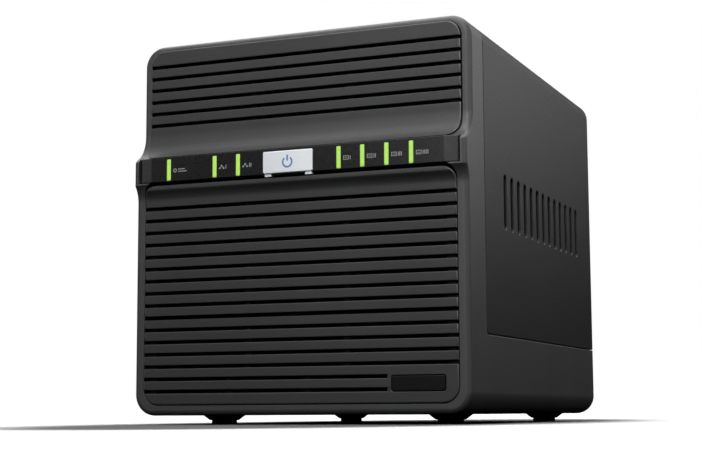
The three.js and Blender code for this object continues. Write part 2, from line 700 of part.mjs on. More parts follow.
function rearDoor() {
  const plate = alongY(outline(-DOOR.half, DOOR.half, DOOR.z0, DOOR.z1, [1, 1, 5, 5]), DOOR.y0, DOOR.y1, 2);
  const fanHoles = [-FAN_X, FAN_X].map((x) => rodY(FAN_BORE, x, FAN_Z, DOOR.y0 - 1, DOOR.y1 + 1, 36));
  const screwHoles = [-1, 1].map((side) =>
    rodY(THUMBSCREW.shank + 0.4, side * THUMBSCREW.x, THUMBSCREW.z, DOOR.y0 - 1, DOOR.y1 + 1, 16),
  );
  const barrels = hingeSides().flatMap((x) => [
    rodX(HINGE.barrel, HINGE.y, HINGE.z, x - HINGE.half, x + HINGE.half, 20),
    block(x - HINGE.half, x + HINGE.half, DOOR.y0, DOOR.y1, HINGE.z, DOOR.z0 + 1),
  ]);
  const pinBore = rodX(HINGE.bore, HINGE.y, HINGE.z, -HALF_WIDTH, HALF_WIDTH);
  return without(joined([plate, ...barrels]), [...fanHoles, ...screwHoles, pinBore]);
}

function hingePin(x) {
  const reach = HINGE.half + FIT_GAP + SHEET;
  const pin = rodX(HINGE.pin, HINGE.y, HINGE.z, x - reach - 1, x + reach + 1);
  return pin.add(rodX(HINGE.pin + 0.9, HINGE.y, HINGE.z, x + reach + FIT_GAP, x + reach + 1.3));
}

function fanFrame(x) {
  const half = FAN_SIZE / 2;
  const body = alongY(outline(x - half, x + half, FAN_Z - half, FAN_Z + half, 4), FAN_FRONT_Y, FAN_REAR_Y, 2);
  const bore = rodY(FAN_BORE, x, FAN_Z, FAN_FRONT_Y - 1, FAN_REAR_Y + 1, 36);
  const motorSeat = rodY(16, x, FAN_Z, 105.2, FAN_REAR_Y, 24);
  const strut = block(x - half + 1, x + half - 1, 106.5, FAN_REAR_Y, FAN_Z - 1.5, FAN_Z + 1.5);
  const post = block(x - 1.5, x + 1.5, 106.5, FAN_REAR_Y, FAN_Z - half + 1, FAN_Z + half - 1);
  return joined([body.subtract(bore), motorSeat, strut, post]);
}

// The rotor: a hub, and blades set at a pitch and trimmed to the bore.
function fanRotor(x) {
  const hub = rodY(FAN_HUB, 0, 0, FAN_FRONT_Y + 1.9, FAN_REAR_Y - 4.3, 28);
  const bladeLength = 24;
  const middleY = (FAN_FRONT_Y + FAN_REAR_Y) / 2 - 1.2;
  const blades = Array.from({ length: FAN_BLADES }, (_, i) => {
    const plate = new THREE.BoxGeometry(bladeLength, 19, 1.5);
    plate.rotateX(THREE.MathUtils.degToRad(38));
    plate.translate(FAN_HUB - 2 + bladeLength / 2, middleY, 0);
    plate.rotateY((i * 2 * Math.PI) / FAN_BLADES);
    return solid(plate);
  });
  const sweep = rodY(FAN_SWEEP, 0, 0, middleY - 9, middleY + 9, 28);
  return joined([hub, joined(blades).intersect(sweep)]).translate([x, 0, FAN_Z]);
}

// The finger guard: round wires held by a cross of two straight ones with an eye at each end.
function fanGuard(x) {
  const y = DOOR.y1 + 1.4;
  const wire = 0.8;
  const rings = [12, 24, 36].map((radius) => {
    const section = [
      [radius - wire, y],
      [radius, y - wire],
      [radius + wire, y],
      [radius, y + wire],
      [radius - wire, y],
    ].map(([r, h]) => new THREE.Vector2(r, h));
    return solid(new THREE.LatheGeometry(section, 18)).translate([x, 0, FAN_Z]);
  });
  const spokes = [45, 135].map((degrees) => {
    const bar = new THREE.BoxGeometry(101.2, 1.4, 1.6);
    bar.translate(0, y - 0.4, 0).rotateY(THREE.MathUtils.degToRad(degrees));
    return solid(bar.translate(x, 0, FAN_Z));
  });
  const eyes = [-1, 1].flatMap((i) =>
    [-1, 1].map((k) =>
      rodY(3.2, x + i * FAN_SCREW_OFFSET, FAN_Z + k * FAN_SCREW_OFFSET, y - 1.1, y + 0.3, 10),
    ),
  );
  return joined([...rings, ...spokes, ...eyes]);
}

function thumbscrew(x) {
  const head = rodY(THUMBSCREW.head, x, THUMBSCREW.z, THUMBSCREW.washer + 0.9, REAR_Y + PROUD, 24);
  const shank = rodY(THUMBSCREW.shank, x, THUMBSCREW.z, THUMBSCREW.tip, REAR_Y, 16);
  const crossSlot = block(x - 3.2, x + 3.2, REAR_Y - 0.8, REAR_Y + 2, THUMBSCREW.z - 0.5, THUMBSCREW.z + 0.5);
  return head.add(shank).subtract(crossSlot);
}

function thumbscrewWasher(x) {
  const y0 = THUMBSCREW.washer;
  const bore = rodY(THUMBSCREW.shank + 0.3, x, THUMBSCREW.z, y0 - 1, y0 + 2, 16);
  return rodY(5.2, x, THUMBSCREW.z, y0, y0 + 0.6, 24).subtract(bore);
}

// ---------------------------------------------------------------- the whole enclosure
place("lower_shell", lowerShell(), charcoalShell);
place("top_cover", topCover(), charcoalCover);
place("upper_grille", upperGrille(), charcoalShell);
place("lower_grille", lowerGrille(), charcoalShell);
const upperFelt = [UPPER_HALF - FELT.margin, UPPER_FACE_Y, FELT.upperBottom, UPPER_TOP_Z - FELT.margin];
const lowerFelt = [LOWER_HALF - FELT.margin, LOWER_FACE_Y, LOWER_BOTTOM_Z + FELT.margin, FELT.lowerTop];
place("dust_felt_upper", dustFelt(...upperFelt), blackFelt);
place("dust_felt_lower", dustFelt(...lowerFelt), blackFelt);
place("badge_plate", badgePlate(), bandPlastic);
place("indicator_band", indicatorBand(), bandPlastic);
place("power_button", powerButton(), silverPlastic);
place("front_board", frontBoard(), boardGreen);

for (const [name, x] of Object.entries(LIGHTS)) {
  place(name, lightPipe(x), greenLens);
}

for (const [name, x, y] of footPlaces()) {
  place(name, postZ(FOOT_RADIUS, FOOT_RADIUS, x, y, 0, FOOT_HEIGHT, 24), blackRubber);
}

place("drive_cage", driveCage(), zincSteel);
place("backplane", backplane(), boardGreen);

BAY_XS.forEach((x, i) => {
  place(`tray_${i + 1}`, tray(x), trayPlastic);
  place(`drive_socket_${i + 1}`, driveSocket(x), socketPlastic);
});

place("mainboard", mainboard(), boardGreen);
place("heat_sink", heatSink(), aluminiumFin);

for (const name of Object.keys(PORTS)) {
  place(name, port(name), name === "dc_jack" ? socketPlastic : portMetal);
}

place("io_panel", ioPanel(), darkSteel);
place("reset_button", resetButton(), socketPlastic);
place("lock_slot_plate", lockSlotPlate(), zincSteel);
place("rear_crossbar", rearCrossbar(), zincSteel);
place("rear_door", rearDoor(), darkSteel);

for (const [side, sign] of Object.entries({ left: -1, right: 1 })) {
  place(`hinge_pin_${side}`, hingePin(sign * HINGE.x), polishedSteel);
  place(`fan_frame_${side}`, fanFrame(sign * FAN_X), fanPlastic);
  place(`fan_rotor_${side}`, fanRotor(sign * FAN_X), fanPlastic);
  place(`fan_guard_${side}`, fanGuard(sign * FAN_X), darkSteel);
  place(`thumbscrew_${side}`, thumbscrew(sign * THUMBSCREW.x), polishedSteel);
  place(`thumbscrew_washer_${side}`, thumbscrewWasher(sign * THUMBSCREW.x), polishedSteel);
}

export default group;
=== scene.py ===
"""Looks of a four-bay network storage enclosure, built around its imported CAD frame.

Lengths in this script are millimetres; every mesh is scaled to metres when it is made.
"""

import json
import math

import bmesh
import bpy
from mathutils import Matrix, Vector


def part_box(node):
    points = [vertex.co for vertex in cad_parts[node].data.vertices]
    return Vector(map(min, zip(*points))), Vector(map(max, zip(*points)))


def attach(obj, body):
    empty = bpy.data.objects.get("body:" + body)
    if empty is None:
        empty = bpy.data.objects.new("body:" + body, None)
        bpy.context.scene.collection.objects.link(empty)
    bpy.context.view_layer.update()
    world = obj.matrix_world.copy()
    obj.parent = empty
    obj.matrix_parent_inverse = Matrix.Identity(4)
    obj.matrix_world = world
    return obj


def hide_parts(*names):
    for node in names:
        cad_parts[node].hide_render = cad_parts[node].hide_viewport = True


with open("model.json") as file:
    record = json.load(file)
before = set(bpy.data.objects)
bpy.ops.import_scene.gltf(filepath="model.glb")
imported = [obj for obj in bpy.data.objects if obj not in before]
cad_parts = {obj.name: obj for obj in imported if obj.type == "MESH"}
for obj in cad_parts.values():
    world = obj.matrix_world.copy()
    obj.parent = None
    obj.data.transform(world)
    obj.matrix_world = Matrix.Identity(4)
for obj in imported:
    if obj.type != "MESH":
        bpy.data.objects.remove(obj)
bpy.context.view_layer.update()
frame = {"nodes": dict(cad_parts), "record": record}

MM = 0.001
TAU = 2 * math.pi
SCENE = bpy.context.scene
RECORD = frame["record"]
BODY_OF = {node: body for body, nodes in RECORD["behaviour"]["bodies"].items() for node in nodes}
SLOT_OF = {part["node"]: part["material_slot"] for part in RECORD["subparts"]}


# ------------------------------------------------------------------ places read from the frame
def span(node):
    """Lowest and highest corner of a CAD node, in millimetres."""
    low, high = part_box(node)
    return low / MM, high / MM


def centre(node):
    """The x, y and z of a CAD node's middle, in millimetres."""
    low, high = span(node)
    return (low.x + high.x) / 2, (low.y + high.y) / 2, (low.z + high.z) / 2


shell_low, shell_high = span("lower_shell")
cover_low = span("top_cover")[0]
upper_high = span("upper_grille")[1]
lower_low, lower_high = span("lower_grille")
band_low, band_high = span("indicator_band")
button_low, button_high = span("power_button")
badge_low, badge_high = span("badge_plate")
FEET = [f"foot_{end}_{side}" for side in ("right", "left") for end in ("front", "rear")]

# ------------------------------------------------------------------ shell sizes
FIT_GAP = 0.3
HALF = shell_high.x
FRONT = shell_low.y
REAR = shell_high.y
TOP = shell_high.z
BODY_BOTTOM = 4.3
CORNER = 10
RING_WALL = 3
COVER_WALL = 2.5
TUB_FRONT = -101
SEAM_Y = cover_low.y - FIT_GAP
SEAM_Z = cover_low.z - FIT_GAP
SEAM_RADIUS = 3
RING_EDGE = 2.6
REAR_EDGE = 1.0
PART_EDGE = 0.7
LIP_EDGE = 0.15
PANEL_GROW = 0.3
PANEL_GAP = 0.25
BAND_GAP = 0.08

RING_UPPER_Y = -105.5
RING_LOWER_Y = -112
UPPER_FACE = -107
LOWER_FACE = -112.5
COVE_TOP = 140
COVE_RADIUS = 14.8
STEP_BOTTOM = 106
STEP_RADIUS = 12.2
LIP_RADIUS = 8.5
LIP_BOTTOM = lower_high.z - 1.9

SLOT_PITCH = 5.8
SLOT_HEIGHT = 1.58
SLOT_DEPTH = 2.8
SLOT_LIP = 0.4
UPPER_SLOT_TOP = 173.0
LOWER_SLOT_TOP = 102.4
UPPER_SLOTS = 6
LOWER_SLOTS = 16
SHORT_SLOTS = 2
SHORT_SLOT_END = 45.3
SLOT_HOLE_HALF = 74.4

# The heights at which the sides get extra points, because the front profile bends there.
LEVEL_STEP = 0.5
LEVEL_COUNT = round((COVE_TOP - STEP_BOTTOM + 2) / LEVEL_STEP) + 1
LEVELS = [STEP_BOTTOM - 1 + LEVEL_STEP * i for i in range(LEVEL_COUNT)]
BROW_HEIGHT = 1.5
SILL_HEIGHT = 1


# ------------------------------------------------------------------ front profiles, y against z
def cove_y(z, flat_y):
    """The hollow curve that runs forward from a flat face to the band."""
    if z >= COVE_TOP:
        return flat_y
    return flat_y - COVE_RADIUS + math.sqrt(COVE_RADIUS**2 - (z - COVE_TOP) ** 2)


def ring_front(z):
    """The ring's front: a cove above the band, a bead beside it and a step below it."""
    if z >= band_high.z:
        return cove_y(z, RING_UPPER_Y)
    brow = cove_y(band_high.z, RING_UPPER_Y)
    if z >= band_high.z - BROW_HEIGHT:
        return FRONT + (brow - FRONT) * (z - band_high.z + BROW_HEIGHT) / BROW_HEIGHT
    if z >= band_low.z - SILL_HEIGHT:
        return FRONT
    if z > STEP_BOTTOM:
        return RING_LOWER_Y - STEP_RADIUS + math.sqrt(STEP_RADIUS**2 - (z - STEP_BOTTOM) ** 2)
    return RING_LOWER_Y


def upper_front(z):
    return cove_y(z, UPPER_FACE)


def lower_front(z):
    if z <= STEP_BOTTOM:
        return LOWER_FACE
    rise = min(z, LIP_BOTTOM) - STEP_BOTTOM
    return LOWER_FACE - LIP_RADIUS + math.sqrt(LIP_RADIUS**2 - rise**2)


# ------------------------------------------------------------------ mesh building
def add_object(name, verts, faces):
    """A linked object whose closed mesh is given in millimetres."""
    mesh = bpy.data.meshes.new(name)
    mesh.from_pydata([Vector(v) * MM for v in verts], [], faces)
    bm = bmesh.new()
    bm.from_mesh(mesh)
    bmesh.ops.remove_doubles(bm, verts=bm.verts, dist=1e-7)
    bmesh.ops.recalc_face_normals(bm, faces=bm.faces)
    bm.to_mesh(mesh)
    bm.free()
    made = bpy.data.objects.new(name, mesh)
    SCENE.collection.objects.link(made)
    return made


def merged(parts):
    """One (verts, faces) pair out of several."""
    verts, faces = [], []
    for part_verts, part_faces in parts:
        start = len(verts)
        verts += list(part_verts)
        faces += [tuple(i + start for i in face) for face in part_faces]
    return verts, faces


def rounded(x0, x1, z0, z1, radii, steps=8, levels=()):
    """A closed rounded rectangle as (u, v, normal u, normal v), counter-clockwise from bottom left.

    radii are those of the bottom left, bottom right, top right and top left corners, and levels are
    heights at which the two upright sides get extra points.
    """
    if not isinstance(radii, (list, tuple)):
        radii = [radii] * 4
    corners = [(x0, z0, 1, 1), (x1, z0, -1, 1), (x1, z1, -1, -1), (x0, z1, 1, -1)]
    points = []
    for k, ((cx, cz, sx, sz), r) in enumerate(zip(corners, radii)):
        if r > 0:
            for i in range(steps + 1):
                a = math.pi + (k + i / steps) * math.pi / 2
                nx, nz = math.cos(a), math.sin(a)
                points.append((cx + sx * r + nx * r, cz + sz * r + nz * r, nx, nz))
        else:
            points.append((cx, cz, -sx, -sz))
        if k == 1:
            inner = [z for z in sorted(levels) if z0 + r < z < z1 - radii[2]]
            points += [(x1, z, 1, 0) for z in inner]
        if k == 3:
            inner = [z for z in sorted(levels, reverse=True) if z0 + radii[0] < z < z1 - r]
            points += [(x0, z, -1, 0) for z in inner]
    return points


def quarter_turn(steps):
    """Angles from 0 to 90 degrees."""
    return [i / steps * math.pi / 2 for i in range(steps + 1)]


def full_turn(count):
    """Evenly spaced angles round a circle."""
    return [i / count * TAU for i in range(count)]


def walls(rings, count, closed=False):
    """Quads between neighbouring rings of count points; closed joins the last ring to the first."""
    faces = []
    for s in range(rings if closed else rings - 1):
        a, b = s * count, (s + 1) % rings * count
        for i in range(count):
            j = (i + 1) % count
            faces.append((a + i, a + j, b + j, b + i))
    return faces


def caps(rings, count):
    """The two faces that close a row of rings."""
    last = (rings - 1) * count
    return [tuple(range(count - 1, -1, -1)), tuple(range(last, last + count))]


def loft(rings):
    """A closed solid through closed rings that have the same number of points."""
    count = len(rings[0])
    return [point for ring in rings for point in ring], walls(len(rings), count) + caps(len(rings), count)


def sweep(outline, stations, axis="y"):
    """A closed solid: an outline carried through stations, each (inset, place along the axis).

    A place may be a number or a function of the outline's second coordinate. The ends are closed by
    strips between points at the same height, so an end may follow a profile.
    """
    verts = []
    count = len(outline)
    for inset, place in stations:
        for u, v, nu, nv in outline:
            w = place(v) if callable(place) else place
            a, b = u - nu * inset, v - nv * inset
            verts.append({"x": (w, a, b), "y": (a, w, b), "z": (a, b, w)}[axis])
    faces = walls(len(stations), count)
    if not any(callable(place) for _, place in (stations[0], stations[-1])):
        return verts, faces + caps(len(stations), count)
    first = next(i for i in range(count) if outline[i][0] > 0)
    for start in (0, len(verts) - count):
        for i in range(count // 2 - 1):
            a, b = (first + i) % count, (first + i + 1) % count
            c, d = (first - 2 - i) % count, (first - 1 - i) % count
            faces.append((start + a, start + b, start + c, start + d))
    return verts, faces


def fillet(radius, steps=5):
    """(inset, depth) pairs round an edge, from the face to the side."""
    return [(radius * (1 - math.sin(t)), radius * (1 - math.cos(t))) for t in quarter_turn(steps)]


def filleted_stations(front, back, front_radius, back_radius=0.0, steps=5):
    """Stations of a solid with rounded front and back edges; front may be a function of height."""
    def at(depth):
        return (lambda z: front(z) + depth) if callable(front) else front + depth

    stations = [(inset, at(depth)) for inset, depth in fillet(front_radius, steps)]
    if back_radius:
        stations += [(inset, back - depth) for inset, depth in reversed(fillet(back_radius, steps))]
    else:
        stations.append((0, back))
    return stations


def box(x0, x1, y0, y1, z0, z1, edge=0.0):
    """A box whose four long Y edges and both ends are rounded by edge."""
    if edge:
        outline = rounded(x0, x1, z0, z1, edge, 3)
        return sweep(outline, filleted_stations(y0, y1, edge * 0.99, edge * 0.99, 3))
    return sweep(rounded(x0, x1, z0, z1, 0), [(0, y0), (0, y1)])


def cross(cx, cz, y0, y1, arm, half):
    """Two crossed bars, such as the recess in a screw's head."""
    level = box(cx - arm, cx + arm, y0, y1, cz - half, cz + half)
    upright = box(cx - half, cx + half, y0, y1, cz - arm, cz + arm)
    return merged([level, upright])


def circle(cu, cv, radius, count=48):
    """A closed circle as (u, v, normal u, normal v)."""
    around = [(math.cos(t), math.sin(t)) for t in full_turn(count)]
    return [(cu + radius * nu, cv + radius * nv, nu, nv) for nu, nv in around]


def rod(cu, cv, radius, a, b, axis="y", count=32, edge=0.0):
    """A round bar along an axis, with its end edges rounded by edge."""
    outline = circle(cu, cv, radius, count)
    if not edge:
        return sweep(outline, [(0, a), (0, b)], axis)
    return sweep(outline, filleted_stations(a, b, edge, edge, 3), axis)


def lathe(profile, cx, cz, count=64):
    """A closed (radius, y) profile turned about an axis along Y through cx, cz."""
    verts = [(cx + r * math.cos(t), y, cz + r * math.sin(t)) for t in full_turn(count) for r, y in profile]
    return verts, walls(count, len(profile), True)


def upright_lathe(profile, x, y, count=48):
    """A closed (radius, z) profile turned about an upright axis through x, y."""
    verts, faces = lathe(profile, 0, 0, count)
    return [(vx + x, vz + y, vy) for vx, vy, vz in verts], faces


def tube(points, radius, count=10, closed=False):
    """A round wire through points."""
    path = [Vector(p) for p in points]
    verts = []
    total = len(path)
    normal = None
    for i, p in enumerate(path):
        ahead = path[(i + 1) % total] if closed or i < total - 1 else p
        behind = path[i - 1] if closed or i > 0 else p
        forward = (ahead - behind).normalized()
        if normal is None:
            normal = forward.orthogonal().normalized()
        normal = (normal - forward * normal.dot(forward)).normalized()
        side = forward.cross(normal)
        verts += [p + (normal * math.cos(t) + side * math.sin(t)) * radius for t in full_turn(count)]
    return verts, walls(total, count, closed) + ([] if closed else caps(total, count))


def moved(part, matrix):
    """A (verts, faces) pair with its points put through a matrix."""
    verts, faces = part
    return [matrix @ Vector(v) for v in verts], faces


def turned(part, cx, cz, angle):
    """A part made round the Y axis, turned by an angle and moved to cx, cz."""
    return moved(part, Matrix.Translation((cx, 0, cz)) @ Matrix.Rotation(angle, 4, "Y"))


def placed(part, spots, y):
    """Copies of a part at each (x, z), with its origin at y."""
    return merged([moved(part, Matrix.Translation((x, y, z))) for x, z in spots])


def taken(obj):
    """The (verts, faces) of an object, which is removed."""
    part = [v.co / MM for v in obj.data.vertices], [tuple(p.vertices) for p in obj.data.polygons]
    bpy.data.objects.remove(obj)
    return part


def modify(obj, kind, **settings):
    """Adds a modifier with its settings."""
    modifier = obj.modifiers.new(kind.lower(), kind)
    for key, value in settings.items():
        setattr(modifier, key, value)


def bake(obj):
    """Applies an object's modifiers to its mesh."""
    graph = bpy.context.evaluated_depsgraph_get()
    graph.update()
    mesh = bpy.data.meshes.new_from_object(obj.evaluated_get(graph))
    obj.modifiers.clear()
    old = obj.data
    obj.data = mesh
    bpy.data.meshes.remove(old)


def cut(obj, part, operation="DIFFERENCE", overlapping=False):
    """Cuts obj with a (verts, faces) solid, or joins or intersects it."""
    tool = add_object("tool", *part)
    modify(obj, "BOOLEAN", object=tool, operation=operation, solver="EXACT", use_self=overlapping)
    bake(obj)
    bpy.data.objects.remove(tool)


def smooth(obj, angle=32):
    """Smooth shading with sharp creases, and normals that follow the larger faces."""
    mesh = obj.data
    mesh.polygons.foreach_set("use_smooth", [True] * len(mesh.polygons))
    mesh.set_sharp_from_angle(angle=math.radians(angle))
    modify(obj, "WEIGHTED_NORMAL", keep_sharp=True, weight=60)


def piece(name, part, material, node, slot=None):
    """A finished piece that rides with a CAD node; slot is not used.

    part is a (verts, faces) solid or an object already made.
    """
    obj = part if isinstance(part, bpy.types.Object) else add_object(name, *part)
    obj.name = name
    obj.data.materials.clear()
    obj.data.materials.append(material)
    smooth(obj)
    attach(obj, BODY_OF[node])
    slot or SLOT_OF[node]
    return obj


def stand_in(node, part, material=None):
    """A finished piece in the place of a CAD node, in the material of the node's slot or in another."""
    obj = piece(node + "_fine", part, material or SLOT_MATERIALS[SLOT_OF[node]], node)
    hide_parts(node)
    return obj


# ------------------------------------------------------------------ materials
NOISE_LOW, NOISE_HIGH = 0.3, 0.7


class Nodes:
    """A material's node tree with short calls for its nodes and links."""

    def __init__(self, name):
        self.material = bpy.data.materials.new(name)
        self.material.use_nodes = True
        self.tree = self.material.node_tree
        self.shader = self.tree.nodes["Principled BSDF"]
        self.coordinates = self.add("ShaderNodeTexCoord").outputs["Object"]

    def add(self, kind, **settings):
        node = self.tree.nodes.new(kind)
        for key, value in settings.items():
            setattr(node, key, value)
        return node

    def put(self, value, socket):
        """Links a node's output to a socket, or sets the socket to a plain value."""
        if isinstance(value, bpy.types.NodeSocket):
            self.tree.links.new(value, socket)
        else:
            socket.default_value = value

    def feed(self, node, **values):
        """Links or sets a node's inputs by name; an underscore stands for a space."""
        for key, value in values.items():
            self.put(value, node.inputs[key.replace("_", " ")])
        return node

    def noise(self, size, detail=3.0, stretch=(1, 1, 1), rough=0.5):
        """Noise whose features are about size millimetres across, longer along a stretched axis."""
        place = self.add("ShaderNodeMapping")
        self.feed(place, Vector=self.coordinates, Scale=[1 / s for s in stretch])
        node = self.add("ShaderNodeTexNoise")
        self.feed(node, Vector=place.outputs["Vector"], Scale=1 / (size * MM))
        return self.feed(node, Detail=detail, Roughness=rough).outputs["Fac"]

    def cells(self, size, **settings):
        """A Voronoi pattern's distances, for cells about size millimetres across."""
        randomness = settings.pop("randomness", 1.0)
        node = self.add("ShaderNodeTexVoronoi", **settings)
        self.feed(node, Vector=self.coordinates, Scale=1 / (size * MM), Randomness=randomness)
        return node.outputs["Distance"]

    def ramp(self, source, low, high, out_low=0.0, out_high=1.0):
        node = self.add("ShaderNodeMapRange")
        self.feed(node, Value=source, From_Min=low, From_Max=high, To_Min=out_low, To_Max=out_high)
        return node.outputs["Result"]

    def spread(self, noise, out_low=0.0, out_high=1.0):
        """The usual range of a noise, spread between two values."""
        return self.ramp(noise, NOISE_LOW, NOISE_HIGH, out_low, out_high)

    def math(self, operation, a, b=0.0):
        node = self.add("ShaderNodeMath", operation=operation)
        self.put(a, node.inputs[0])
        self.put(b, node.inputs[1])
        return node.outputs["Value"]

    def mix(self, factor, a, b):
        node = self.add("ShaderNodeMix", data_type="RGBA")
        for index, value in ((0, factor), (6, a), (7, b)):
            self.put(value, node.inputs[index])
        return node.outputs[2]

    def mottle(self, colour, dark, pale, size, detail=2.0, stretch=(1, 1, 1)):
        """A colour that drifts between two tints of itself over about size millimetres."""
        cloud = self.spread(self.noise(size, detail, stretch))
        return self.mix(cloud, tinted(colour, dark), tinted(colour, pale))

    def stain(self, base, mask, amount, colour):
        """base, partly covered by a colour where the mask is 1."""
        return self.mix(self.math("MULTIPLY", mask, amount), base, colour)

    def edges(self, radius, samples=4):
        """1 on convex and concave edges, 0 on flats, with the softened normal."""
        bevel = self.add("ShaderNodeBevel", samples=samples)
        self.feed(bevel, Radius=radius * MM)
        dot = self.add("ShaderNodeVectorMath", operation="DOT_PRODUCT")
        self.put(bevel.outputs["Normal"], dot.inputs[0])
        self.put(self.add("ShaderNodeNewGeometry").outputs["Normal"], dot.inputs[1])
        return self.ramp(dot.outputs["Value"], 0.995, 0.86), bevel.outputs["Normal"]

    def bump(self, height, distance, **values):
        """A normal bumped by height, distance millimetres deep."""
        node = self.feed(self.add("ShaderNodeBump"), Height=height, Distance=distance * MM, Strength=1.0)
        return self.feed(node, **values).outputs["Normal"]

    def finish(self, **values):
        """Feeds the shader and gives the finished material."""
        self.feed(self.shader, **values)
        return self.material


def tinted(colour, factor):
    """An opaque colour, lighter or darker by a factor."""
    return tuple(min(1.0, c * factor) for c in colour) + (1.0,)


def moulded_plastic(name, colour, roughness, grain=0.35, depth=0.02, edge=1.5, specular=0.5, painted_shade_reach=0):
    """Moulded plastic: eroded grain, faint flow marks, slightly polished and paler edges; the paler tint
    is partly wear and partly a painted highlight.

    Hollows narrower than painted_shade_reach get painted shade: their colour goes near black and their
    specular drops.
    """
    n = Nodes(name)
    edge_mask, soft = n.edges(0.35)
    base = n.mottle(colour, 0.88, 1.12, 38, stretch=(1, 1, 2.5))
    base = n.mix(n.ramp(n.noise(0.9, 4.0), 0.62, 0.8, 0.0, 0.35), base, tinted(colour, 1.5))
    # Paler edges: partly wear, partly a painted highlight.
    base = n.stain(base, edge_mask, 0.5, tinted(colour, edge))
    coarse = n.noise(grain * 3.2)
    rough = n.spread(coarse, roughness - 0.05, roughness + 0.06)
    rough = n.math("SUBTRACT", rough, n.math("MULTIPLY", edge_mask, 0.12))
    height = n.math("ADD", n.noise(grain, 2.0), n.math("MULTIPLY", coarse, 0.5))
    if painted_shade_reach:
        # Painted shade: ambient occlusion blackens the colour and dims the specular inside narrow hollows
        # such as the louvre slots.
        shade = n.feed(n.add("ShaderNodeAmbientOcclusion", samples=6), Distance=painted_shade_reach * MM)
        open_air = n.ramp(shade.outputs["AO"], 0.3, 0.62)
        base = n.mix(open_air, (0.002, 0.002, 0.002, 1), base)
        specular = n.math("MULTIPLY", open_air, specular)
    normal = n.bump(height, depth, Normal=soft)
    return n.finish(Base_Color=base, Roughness=rough, Normal=normal, Specular_IOR_Level=specular)


def sheet_metal(name, colour, roughness, stretch=(1, 1, 8)):
    """Plated sheet steel: rolled streaks, spangle, fine scratches and brighter edges."""
    n = Nodes(name)
    edge_mask, soft = n.edges(0.25)
    streak = n.noise(0.5, 3.0, stretch)
    base = n.mottle(colour, 0.86, 1.08, 24, 3.0)
    base = n.stain(base, n.ramp(n.cells(7), 0.0, 0.9), 0.25, tinted(colour, 0.8))
    base = n.stain(base, edge_mask, 0.6, tinted(colour, 1.35))
    rough = n.spread(streak, roughness - 0.08, roughness + 0.1)
    rolled = n.bump(streak, 0.006, Normal=soft)
    return n.finish(Base_Color=base, Metallic=1.0, Roughness=rough, Normal=rolled)


def powder_coat(name, colour, roughness=0.45):
    """Textured powder coat on steel, worn a little along its edges."""
    n = Nodes(name)
    edge_mask, soft = n.edges(0.3)
    orange_peel = n.noise(0.55)
    chips = n.math("MULTIPLY", edge_mask, n.ramp(n.noise(1.6, 4.0), 0.52, 0.66))
    base = n.stain(n.mottle(colour, 0.85, 1.15, 30), edge_mask, 0.35, tinted(colour, 2.2))
    base = n.mix(chips, base, (0.18, 0.18, 0.18, 1))
    rough = n.spread(orange_peel, roughness - 0.07, roughness + 0.08)
    return n.finish(Base_Color=base, Roughness=rough, Normal=n.bump(orange_peel, 0.05, Normal=soft))


def rubber(name, colour):
    """Matte rubber, dusty and paler along its edges."""
    n = Nodes(name)
    edge_mask, soft = n.edges(0.3)
    dust = n.ramp(n.noise(1.2, 4.0), 0.4, 0.7)
    base = n.mix(dust, tinted(colour, 0.8), tinted(colour, 1.8))
    base = n.stain(base, edge_mask, 0.4, tinted(colour, 3.0))
    return n.finish(Base_Color=base, Roughness=0.88, Normal=n.bump(n.noise(0.25, 2.0), 0.03, Normal=soft))


def felt(name, colour):
    """Needled felt: matted fibres with a soft sheen."""
    n = Nodes(name)
    n.feed(n.shader, Roughness=0.95, Specular_IOR_Level=0.1, Sheen_Weight=0.1)
    fibres = n.bump(n.noise(0.12, 6.0, (1, 1, 2.5), 0.7), 0.12)
    return n.finish(Base_Color=n.mottle(colour, 0.7, 1.4, 3, 3.0), Normal=fibres)


def circuit_board(name, colour):
    """Solder mask with a maze of copper tracks just showing through, and tinned vias."""
    n = Nodes(name)
    tracks = n.add("ShaderNodeTexBrick", offset=0.37, squash=0.6, squash_frequency=3)
    n.feed(tracks, Vector=n.coordinates, Scale=1 / (9 * MM), Mortar_Size=0.035, Mortar_Smooth=0.2)
    maze = n.ramp(n.cells(5.5, feature="DISTANCE_TO_EDGE"), 0.05, 0.03)
    copper = n.math("MAXIMUM", tracks.outputs["Fac"], maze)
    via = n.ramp(n.cells(3.1, randomness=0.55), 0.12, 0.09)
    base = n.stain(n.mottle(colour, 0.85, 1.1, 20), copper, 0.7, tinted(colour, 2.0))
    base = n.mix(via, base, (0.55, 0.52, 0.42, 1))
    metal = n.math("MULTIPLY", via, 0.8)
    return n.finish(Base_Color=base, Roughness=0.38, Metallic=metal, Normal=n.bump(copper, 0.03))


def lit_lens(name, colour, strength):
    """A lit light pipe: only its front shines, and its core is brighter than its edges."""
    n = Nodes(name)
    edge_mask, soft = n.edges(0.9, 6)
    glow = n.stain(tinted(colour, 1), edge_mask, 0.85, tinted(colour, 0.35))
    speck = n.spread(n.noise(1.5), strength * 0.93, strength * 1.07)
    split = n.add("ShaderNodeSeparateXYZ")
    n.feed(split, Vector=n.add("ShaderNodeNewGeometry").outputs["Normal"])
    forward = n.ramp(split.outputs["Y"], -0.1, -0.5, 0.01, 1.0)
    return n.finish(
        Base_Color=tinted(colour, 0.5), Roughness=n.spread(n.noise(0.6), 0.2, 0.3),
        Emission_Color=glow, Emission_Strength=n.math("MULTIPLY", speck, forward), Normal=soft,
    )


def printed_ink(name, colour, roughness=0.5):
    """Ink or paper, slightly mottled."""
    n = Nodes(name)
    base = n.mottle(colour, 0.85, 1.1, 0.22, 3.0)
    return n.finish(Base_Color=base, Roughness=roughness, Normal=n.bump(n.noise(0.15), 0.01))


